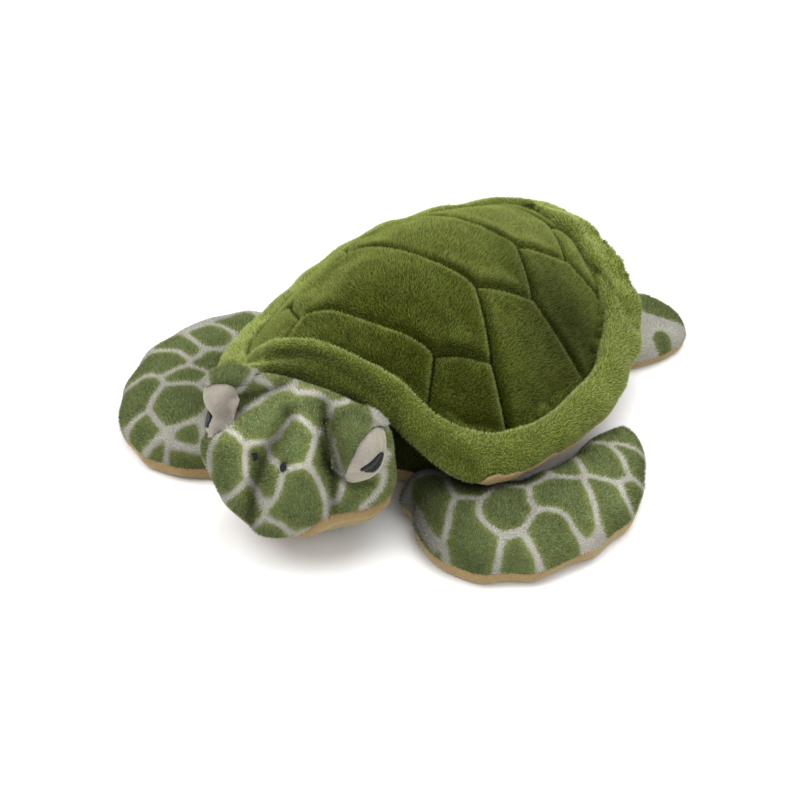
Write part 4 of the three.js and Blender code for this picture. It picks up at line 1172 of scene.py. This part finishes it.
def build_brim():
    """Padded brim with its turned-up folds, the tan underside and their filling"""
    nodes = ["brim_band", "brim_underside", "brim_wadding"]
    form = shape_brim(soft_form("Brim_form", nodes, VOXELS["brim"], smooth=5, inset=0.003))
    inside = form_tree(form)
    band, edge = ["brim_band"], ["brim_underside"]
    top = part_of(form, "Brim_band", band, edge, 2, brim_wrap)
    under = part_of(form, "Brim_underside", edge, band, 2, lambda spot: -brim_wrap(spot))
    bpy.data.objects.remove(form)
    # The brim's seam numbers: painted shade in the collar's groove, on the lobe under it and in the fold near
    # the tail
    fields = {"seam": collar_shade}

    def flow(points, up):
        out = unit(points * np.array((1, 1, 0)) - np.array((0, 0.03, 0)))
        return (out - (out * up).sum(1, keepdims=True) * up) * 0.2

    for number, (low, high) in enumerate(((-1, 0), (0, 1))):
        pile(f"Brim_pile_{number + 1}", top, settings("pile").brim_length, flow, fields, "root", "brim_plush",
             dense=1.4, region=between(0, low, high))
    finish_cover(top, "brim_plush", "root", "brim_band", fields)
    finish_cover(push(under, 0.002), "tan_velour", "root", "brim_underside")
    stuffing("brim_wadding", "root", inside)


def build_belly():
    """Side wall and belly of the body with their filling"""
    nodes = ["side_panel", "belly_panel", "body_filling"]
    form = soft_form("Body_form", nodes, VOXELS["body"], cap=0.001)
    inside = form_tree(form)
    wall, floor, core = (tree_of([node]) for node in nodes)

    def upright(centres):
        return [wall.find_nearest(spot)[3] <= floor.find_nearest(spot)[3]
                and (spot.z < WALL_TOP or wall.find_nearest(spot)[3] <= core.find_nearest(spot)[3])
                for spot in map(Vector, centres)]

    side = split_along(form, "Side_panel", upright, 4)
    belly = part_of(form, "Belly_panel", ["belly_panel"], ["side_panel", "body_filling"], 4)
    bpy.data.objects.remove(form)
    fields = plain_fields()
    pile("Side_pile", side, settings("pile").skin_length, swept((0, 0.3, -1), 0.8), fields, "root",
         "neck_plush", dense=0.6)
    finish_cover(side, "neck_plush", "root", "side_panel", fields)
    finish_cover(belly, "tan_velour", "root", "belly_panel")
    stuffing("body_filling", "root", inside, inset=0.006)


def build_neck():
    """Neck sleeve round its ball of filling"""
    form = soft_form("Neck_sleeve", ["neck_sleeve", "neck_filling"], VOXELS["neck"], cap=0.001)
    fields = plain_fields()
    pile("Neck_pile", form, settings("pile").skin_length, swept((0, 0.2, -1), 0.7), fields, "neck",
         "neck_plush", dense=0.5)
    backing(form, fields)
    finish_piece(form, "neck_plush", "neck", "neck_sleeve", fill=FIRM_FILL)
    stuffing("neck_filling", "neck", form_tree(form))


def laid_left(values, points):
    """Places or directions at points, those of the right half mirrored onto the left one"""
    return values * np.where(points[:, :1] < 0, MIRROR, 1)


def fold_depth(points, tilts, wide=0.0):
    """How deep each point lies in the folds of the face, in millimetres, and how much they shade it"""
    ahead = np.clip((tilts @ HEAD_LOOK) / 0.3, 0, 1)
    crease = bell(line_gap(head_chart(points), SNOUT_CREASE), SNOUT_WIDTH + wide) * ahead
    mine = np.clip((laid_left(tilts, points) @ HEAD_LOOK) / 0.3, 0, 1)
    spots = head_chart(laid_left(points, points))
    brow = bell(line_gap(spots, BROW_FOLD), BROW_WIDTH + wide) * mine
    lid = bell(line_gap(spots, LID_FOLD), LID_WIDTH + wide) * mine
    nostril = sum(bell(np.linalg.norm(head_chart(points) - spot, axis=1), NOSTRIL_WIDTH + wide)
                  for spot in NOSTRIL_SPOTS)
    depth = SNOUT_DEPTH * crease + BROW_DEPTH * brow + LID_DEPTH * lid + NOSTRIL_DEPTH * nostril * ahead
    wide_brow = bell(line_gap(spots, BROW_FOLD[:4]), BROW_SHADE_WIDTH) * mine
    shade = (1 - 0.55 * crease) * (1 - 0.4 * brow) * (1 - 0.45 * wide_brow) * (1 - 0.45 * lid)
    shade *= 1 - 0.5 * nostril * ahead
    return depth, shade


def ball_push(form):
    """Swells the head over each eye's ball"""
    points = places(form)
    for side in (1, -1):
        flip = np.array((side, 1, 1))
        off = (points * flip - BALL_CENTRE - (FAR_BALL_SHIFT if side < 0 else 0)) / BALL_RADII
        ahead = off @ BALL_OUT
        aside = off - ahead[:, None] * BALL_OUT
        reach = (aside**2).sum(1)
        dome = np.sqrt(np.clip(1 - reach, 0, 1))
        lift = np.where((reach < 1) & (ahead > -1.2) & (dome > ahead), dome - ahead, 0)
        points = (points * flip + lift[:, None] * BALL_OUT * BALL_RADII) * flip
    place(form, points)


def jaw_seam(points):
    """Height of the mouth seam: low under the beak and higher at the corners of the mouth"""
    side = np.clip((np.abs(points[:, 0]) / MM - MOUTH_FLAT) / MOUTH_REACH, 0, 1)
    return (MOUTH_LOW + MOUTH_RISE * side**2 * (3 - 2 * side)) * MM


def sculpt_head(form):
    """Cheeks and beak, eye balls, the folds of the face and the mouth seam"""
    spots = head_chart(places(form))
    seen = np.clip((normals(form) @ HEAD_LOOK + 0.6) / 0.5, 0, 1)
    swell = sum(bell(np.linalg.norm(spots - spot, axis=1), reach) * high for spot, reach, high in HEAD_SWELLS)
    push(form, swell * seen * MM)
    ball_push(form)
    smoothed(remeshed(form, VOXELS["head_fine"]), 8)
    points, tilts = places(form), normals(form)
    depth, _ = fold_depth(points, tilts)
    above, front = (points[:, 2] - jaw_seam(points)) / MM, points[:, 1] < -0.13
    mouth = bell(above, 2.4) * front
    lip = bell(above + 7, 5) * front
    push(form, (-depth - 2.0 * mouth + 2.2 * lip) * MM)


def within(points, tilts, shapes, side, grow=0.0):
    """Points of one eye's ball inside the near outline of a pair or, on the far side, inside either"""
    near, far = shapes
    flip = np.array((side, 1, 1))
    close = np.linalg.norm(points * flip - BALL_CENTRE, axis=1) < BALL_REACH
    inside = (inside_depth(head_chart(points * flip), near) > -grow) & ((tilts * flip) @ HEAD_LOOK > 0.02)
    if side < 0:
        inside &= tilts @ HEAD_LOOK < 0.3
        inside |= (inside_depth(head_chart(points), far) > -grow) & (tilts @ HEAD_LOOK > 0.02)
    return inside & close


def chart_patch(surface, name, shapes, side, rounds, spare=None):
    """An open piece of the head's surface inside a pair of outlines; the far one's points get more evening"""
    obj = copied(surface, name)
    points, tilts = places(obj), normals(obj)
    grow, rounds, ease = (1.2, 3, 6) if side > 0 else (2.2, rounds, 12)
    keep = within(points, tilts, shapes, side, grow)
    if spare is not None:
        keep &= ~within(points, tilts, spare, side)
    pairs = np.array([edge.vertices[:] for edge in obj.data.edges])
    keep = evened_choice(pairs, keep, rounds)
    work = bmesh.new()
    work.from_mesh(obj.data)
    work.verts.ensure_lookup_table()
    bmesh.ops.delete(work, geom=[work.verts[k] for k in np.nonzero(~keep)[0]], context="VERTS")
    bmesh.ops.delete(work, geom=[vert for vert in work.verts if not vert.link_faces], context="VERTS")
    ease_rim(work, ease)
    work.to_mesh(obj.data)
    work.free()
    return obj


def build_eye(surface, side, word, fields):
    """An eye's cream cloth, its pupil, and its lid: a padded flap over the eye's ball, with its own pile"""
    eye = push(chart_patch(surface, f"Eye_patch_{word}", EYE_SHAPES, side, 40), EYE_LIFT)
    finish_cover(eye, "cream_velour", "head", f"eye_patch_{word}", thickness=EYE_CLOTH, fill=None)
    pupil = push(chart_patch(surface, f"Pupil_{word}", PUPIL_SHAPES, side, 9), PUPIL_LIFT)
    finish_cover(pupil, "black_felt", "head", f"pupil_{word}", thickness=PUPIL_CLOTH, fill=None)
    lid = push(chart_patch(surface, f"Eyelid_{word}", LID_SHAPES, side, 20, spare=EYE_SHAPES), LID_LIFT)
    pile(f"Eyelid_pile_{word}", lid, settings("pile").skin_length, swept(*HEAD_LEAN), fields, "head",
         "skin_plush", dense=1.5)
    finish_cover(lid, "skin_plush", "head", f"eyelid_{word}", fields, LID_CLOTH, FIRM_FILL)


def build_nostril(word):
    """A nostril's embroidered spot, set a little into the snout"""
    nostril = smoothed(remeshed(joined(f"Nostril_{word}", [f"nostril_{word}"]), VOXELS["nostril"]), 4)
    points = places(nostril)
    place(nostril, points.mean(0) + (points - points.mean(0)) * 0.75 + np.array((0, 0.0018, 0)))
    finish_piece(nostril, "black_felt", "head", f"nostril_{word}")


def head_fold(strength):
    """How much the face's folds shade the print, at a strength"""
    return lambda points, up: strength * fold_depth(points, up, 0.6)[1]


def build_head():
    """Head covers, eyes, lids, nostrils and filling"""
    nodes = ["head_top", "head_jaw", "head_filling"]
    form = soft_form("Head_form", nodes, VOXELS["head"], smooth=4, cap=0.002, inset=0.001)
    sculpt_head(form)
    inside = form_tree(form)
    top = split_along(form, "Head_top", lambda points: points[:, 2] > jaw_seam(points))
    jaw = split_along(form, "Head_jaw", lambda points: points[:, 2] <= jaw_seam(points))
    for side, word in ((1, "left"), (-1, "right")):
        # The lids take a weaker strength than the head's cover: painted shade on the lids
        build_eye(form, side, word, {"cell": head_print, "fold": head_fold(0.9)})
    bpy.data.objects.remove(form)

    def clear_of_eyes(points, up):
        eyes = [within(points, up, EYE_SHAPES, side, 0.6) for side in (1, -1)]
        lids = [within(points, up, LID_SHAPES, side, -1.5) for side in (1, -1)]
        return ~np.any(eyes + lids, axis=0)

    fields = {"cell": head_print, "fold": head_fold(1.22)}
    pile("Head_pile", top, settings("pile").skin_length, swept(*HEAD_LEAN), fields, "head",
         "skin_plush", dense=1.5, region=clear_of_eyes)
    finish_cover(top, "skin_plush", "head", "head_top", fields, fill=FIRM_FILL)
    finish_cover(jaw, "tan_velour", "head", "head_jaw", fill=FIRM_FILL)
    stuffing("head_filling", "head", inside, clear=0.006)
    for word in ("left", "right"):
        build_nostril(word)


def build_limb(word, outlines, level, mirror=False, ease=12, even=100):
    """A flipper or the tail: printed top, tan underside, filling and pile"""
    nodes = [f"{word}_top", f"{word}_underside", f"{word}_filling"]
    title = word.capitalize()
    form = soft_form(f"{title}_form", nodes, VOXELS["limb"], smooth=ease, cap=0.003, inset=-0.0022, even=even)
    spots = places(form) / MM
    lumps = np.sin(spots[:, 0] / 6 + 1) * np.sin(spots[:, 1] / 7)
    lumps = lumps + 0.7 * np.sin(spots[:, 0] / 11 + spots[:, 1] / 9)
    push(form, LIMB_LUMPS * lumps * MM)
    place(form, np.maximum(places(form), (-1, -1, FLOOR_GAP)))
    inside = form_tree(form)
    top = split_level(form, f"{title}_top", level, True)
    under = split_level(form, f"{title}_underside", level, False)
    bpy.data.objects.remove(form)
    root = min((np.array(vert.co)[:2] for vert in CAD[f"{word}_top"].data.vertices), key=np.linalg.norm)

    # Painted shade: the print darkens towards the limb's root, where the shell shades it, and a little more
    # on the right flipper
    def shade(points, _):
        away = np.clip((np.linalg.norm(points[:, :2] - root, axis=1) / MM - 10) / 130, 0, 1)
        if not word.startswith("front"):
            return 0.9 + 0.2 * away
        return (ROOT_SHADE + TIP_GAIN * away) * (RIGHT_SHADE if "right" in word else 1)

    # Its fold numbers carry that painted shade
    fields = {"cell": plan_print(outlines, mirror), "fold": shade}
    out = -1 if "right" in word else 1
    stroke = swept((0.8 * out, 0.3, -0.2), 0.35)
    pile(f"{title}_pile", top, settings("pile").skin_length, stroke, fields, word, "skin_plush", dense=1.35)
    finish_cover(top, "skin_plush", word, f"{word}_top", fields)
    finish_cover(under, "tan_velour", word, f"{word}_underside")
    stuffing(f"{word}_filling", word, inside)


class TURTLE_OT_shell(bpy.types.Operator):
    """Builds the quilted shell and its wadding"""

    bl_idname = "turtle.shell"
    bl_label = "Shell"

    def execute(self, context):
        build_shell()
        return {"FINISHED"}


class TURTLE_OT_brim(bpy.types.Operator):
    """Builds the padded brim, its underside and wadding"""

    bl_idname = "turtle.brim"
    bl_label = "Brim"

    def execute(self, context):
        build_brim()
        return {"FINISHED"}


class TURTLE_OT_belly(bpy.types.Operator):
    """Builds the side wall, the belly and the body's filling"""

    bl_idname = "turtle.belly"
    bl_label = "Side wall and belly"

    def execute(self, context):
        build_belly()
        return {"FINISHED"}


class TURTLE_OT_neck(bpy.types.Operator):
    """Builds the neck sleeve and its filling"""

    bl_idname = "turtle.neck"
    bl_label = "Neck"

    def execute(self, context):
        build_neck()
        return {"FINISHED"}


class TURTLE_OT_head(bpy.types.Operator):
    """Builds the head, eyes, lids and nostrils"""

    bl_idname = "turtle.head"
    bl_label = "Head and eyes"

    def execute(self, context):
        build_head()
        return {"FINISHED"}


class TURTLE_OT_limbs(bpy.types.Operator):
    """Builds the four flippers and the tail"""

    bl_idname = "turtle.limbs"
    bl_label = "Flippers and tail"

    def execute(self, context):
        build_limb("front_flipper_left", LEFT_FLIPPER_PRINT, FRONT_SEAM)
        build_limb("front_flipper_right", RIGHT_FLIPPER_PRINT, FRONT_SEAM)
        build_limb("rear_flipper_left", REAR_FLIPPER_PRINT, REAR_SEAM)
        build_limb("rear_flipper_right", REAR_FLIPPER_PRINT, REAR_SEAM, mirror=True)
        build_limb("tail", TAIL_PRINT, TAIL_SEAM, ease=3, even=0)
        return {"FINISHED"}


class TURTLE_OT_stage(bpy.types.Operator):
    """Sets the floor, lights, world and camera"""

    bl_idname = "turtle.stage"
    bl_label = "Studio stage"

    def execute(self, context):
        stage = settings("stage")
        bpy.ops.mesh.primitive_plane_add(size=FLOOR_SIZE, location=(0, 0, 0))
        floor = context.object
        floor.name = "Floor"
        paper = bpy.data.materials.new("Paper")
        paper.use_nodes = True
        tree = paper.node_tree
        shader = tree.nodes["Principled BSDF"]
        shader.inputs["Base Color"].default_value = (stage.paper, stage.paper, stage.paper, 1)
        shader.inputs["Roughness"].default_value = 0.9
        shader.inputs["Specular IOR Level"].default_value = 0.0
        floor.data.materials.append(paper)
        for name, spot, size, power in LAMPS:
            data = bpy.data.lights.new(name, "AREA")
            data.shape = "DISK"
            data.size = size
            data.energy = power
            lamp = bpy.data.objects.new(name, data)
            context.scene.collection.objects.link(lamp)
            lamp.location = spot
            lamp.rotation_euler = (LAMP_AIM - Vector(spot)).to_track_quat("-Z", "Y").to_euler()
        world = bpy.data.worlds.new("Studio")
        context.scene.world = world
        world.use_nodes = True
        sky = world.node_tree.nodes["Background"]
        sky.inputs["Color"].default_value = (1, 1, 1, 1)
        sky.inputs["Strength"].default_value = stage.sky
        camera = bpy.data.cameras.new("Camera")
        camera.lens = stage.lens
        camera.sensor_width = 36
        camera.clip_end = 50
        view = bpy.data.objects.new("Camera", camera)
        context.scene.collection.objects.link(view)
        flat = math.cos(stage.elevation)
        aside, ahead = math.sin(stage.azimuth) * flat, math.cos(stage.azimuth) * flat
        back = Vector((aside, -ahead, math.sin(stage.elevation)))
        view.location = Vector(stage.target) + back * stage.distance
        view.rotation_euler = (-back).to_track_quat("-Z", "Y").to_euler()
        context.scene.camera = view
        context.scene.view_settings.view_transform = "Standard"
        return {"FINISHED"}


class TURTLE_PT_panel(bpy.types.Panel):
    """Buttons and settings of the plush turtle"""

    bl_label = "Plush turtle"
    bl_space_type = "VIEW_3D"
    bl_region_type = "UI"
    bl_category = "Plush turtle"

    def draw(self, context):
        layout = self.layout
        for name, group in GROUPS.items():
            box = layout.box()
            box.label(text=name.capitalize())
            for field in group.__annotations__:
                box.prop(getattr(context.scene, f"turtle_{name}"), field)
        for operator in OPERATORS:
            layout.operator(operator.bl_idname)


GROUPS = {"cloth": TurtleCloth, "pile": TurtlePile, "colours": TurtleColours, "stage": TurtleStage}
OPERATORS = (
    TURTLE_OT_shell, TURTLE_OT_brim, TURTLE_OT_belly, TURTLE_OT_neck, TURTLE_OT_head, TURTLE_OT_limbs,
    TURTLE_OT_stage,
)


def register():
    """Makes the settings, operators and panel known"""
    for kind in (*GROUPS.values(), *OPERATORS, TURTLE_PT_panel):
        bpy.utils.register_class(kind)
    for name, group in GROUPS.items():
        setattr(bpy.types.Scene, f"turtle_{name}", PointerProperty(type=group))


def unregister():
    """Takes them away again"""
    for name in GROUPS:
        delattr(bpy.types.Scene, f"turtle_{name}")
    for kind in (TURTLE_PT_panel, *OPERATORS[::-1], *GROUPS.values()):
        bpy.utils.unregister_class(kind)


def main():
    """Builds every piece and the stage"""
    register()
    bpy.ops.turtle.shell()
    bpy.ops.turtle.brim()
    bpy.ops.turtle.belly()
    bpy.ops.turtle.neck()
    bpy.ops.turtle.head()
    bpy.ops.turtle.limbs()
    bpy.ops.turtle.stage()


if __name__ == "__main__":
    main()
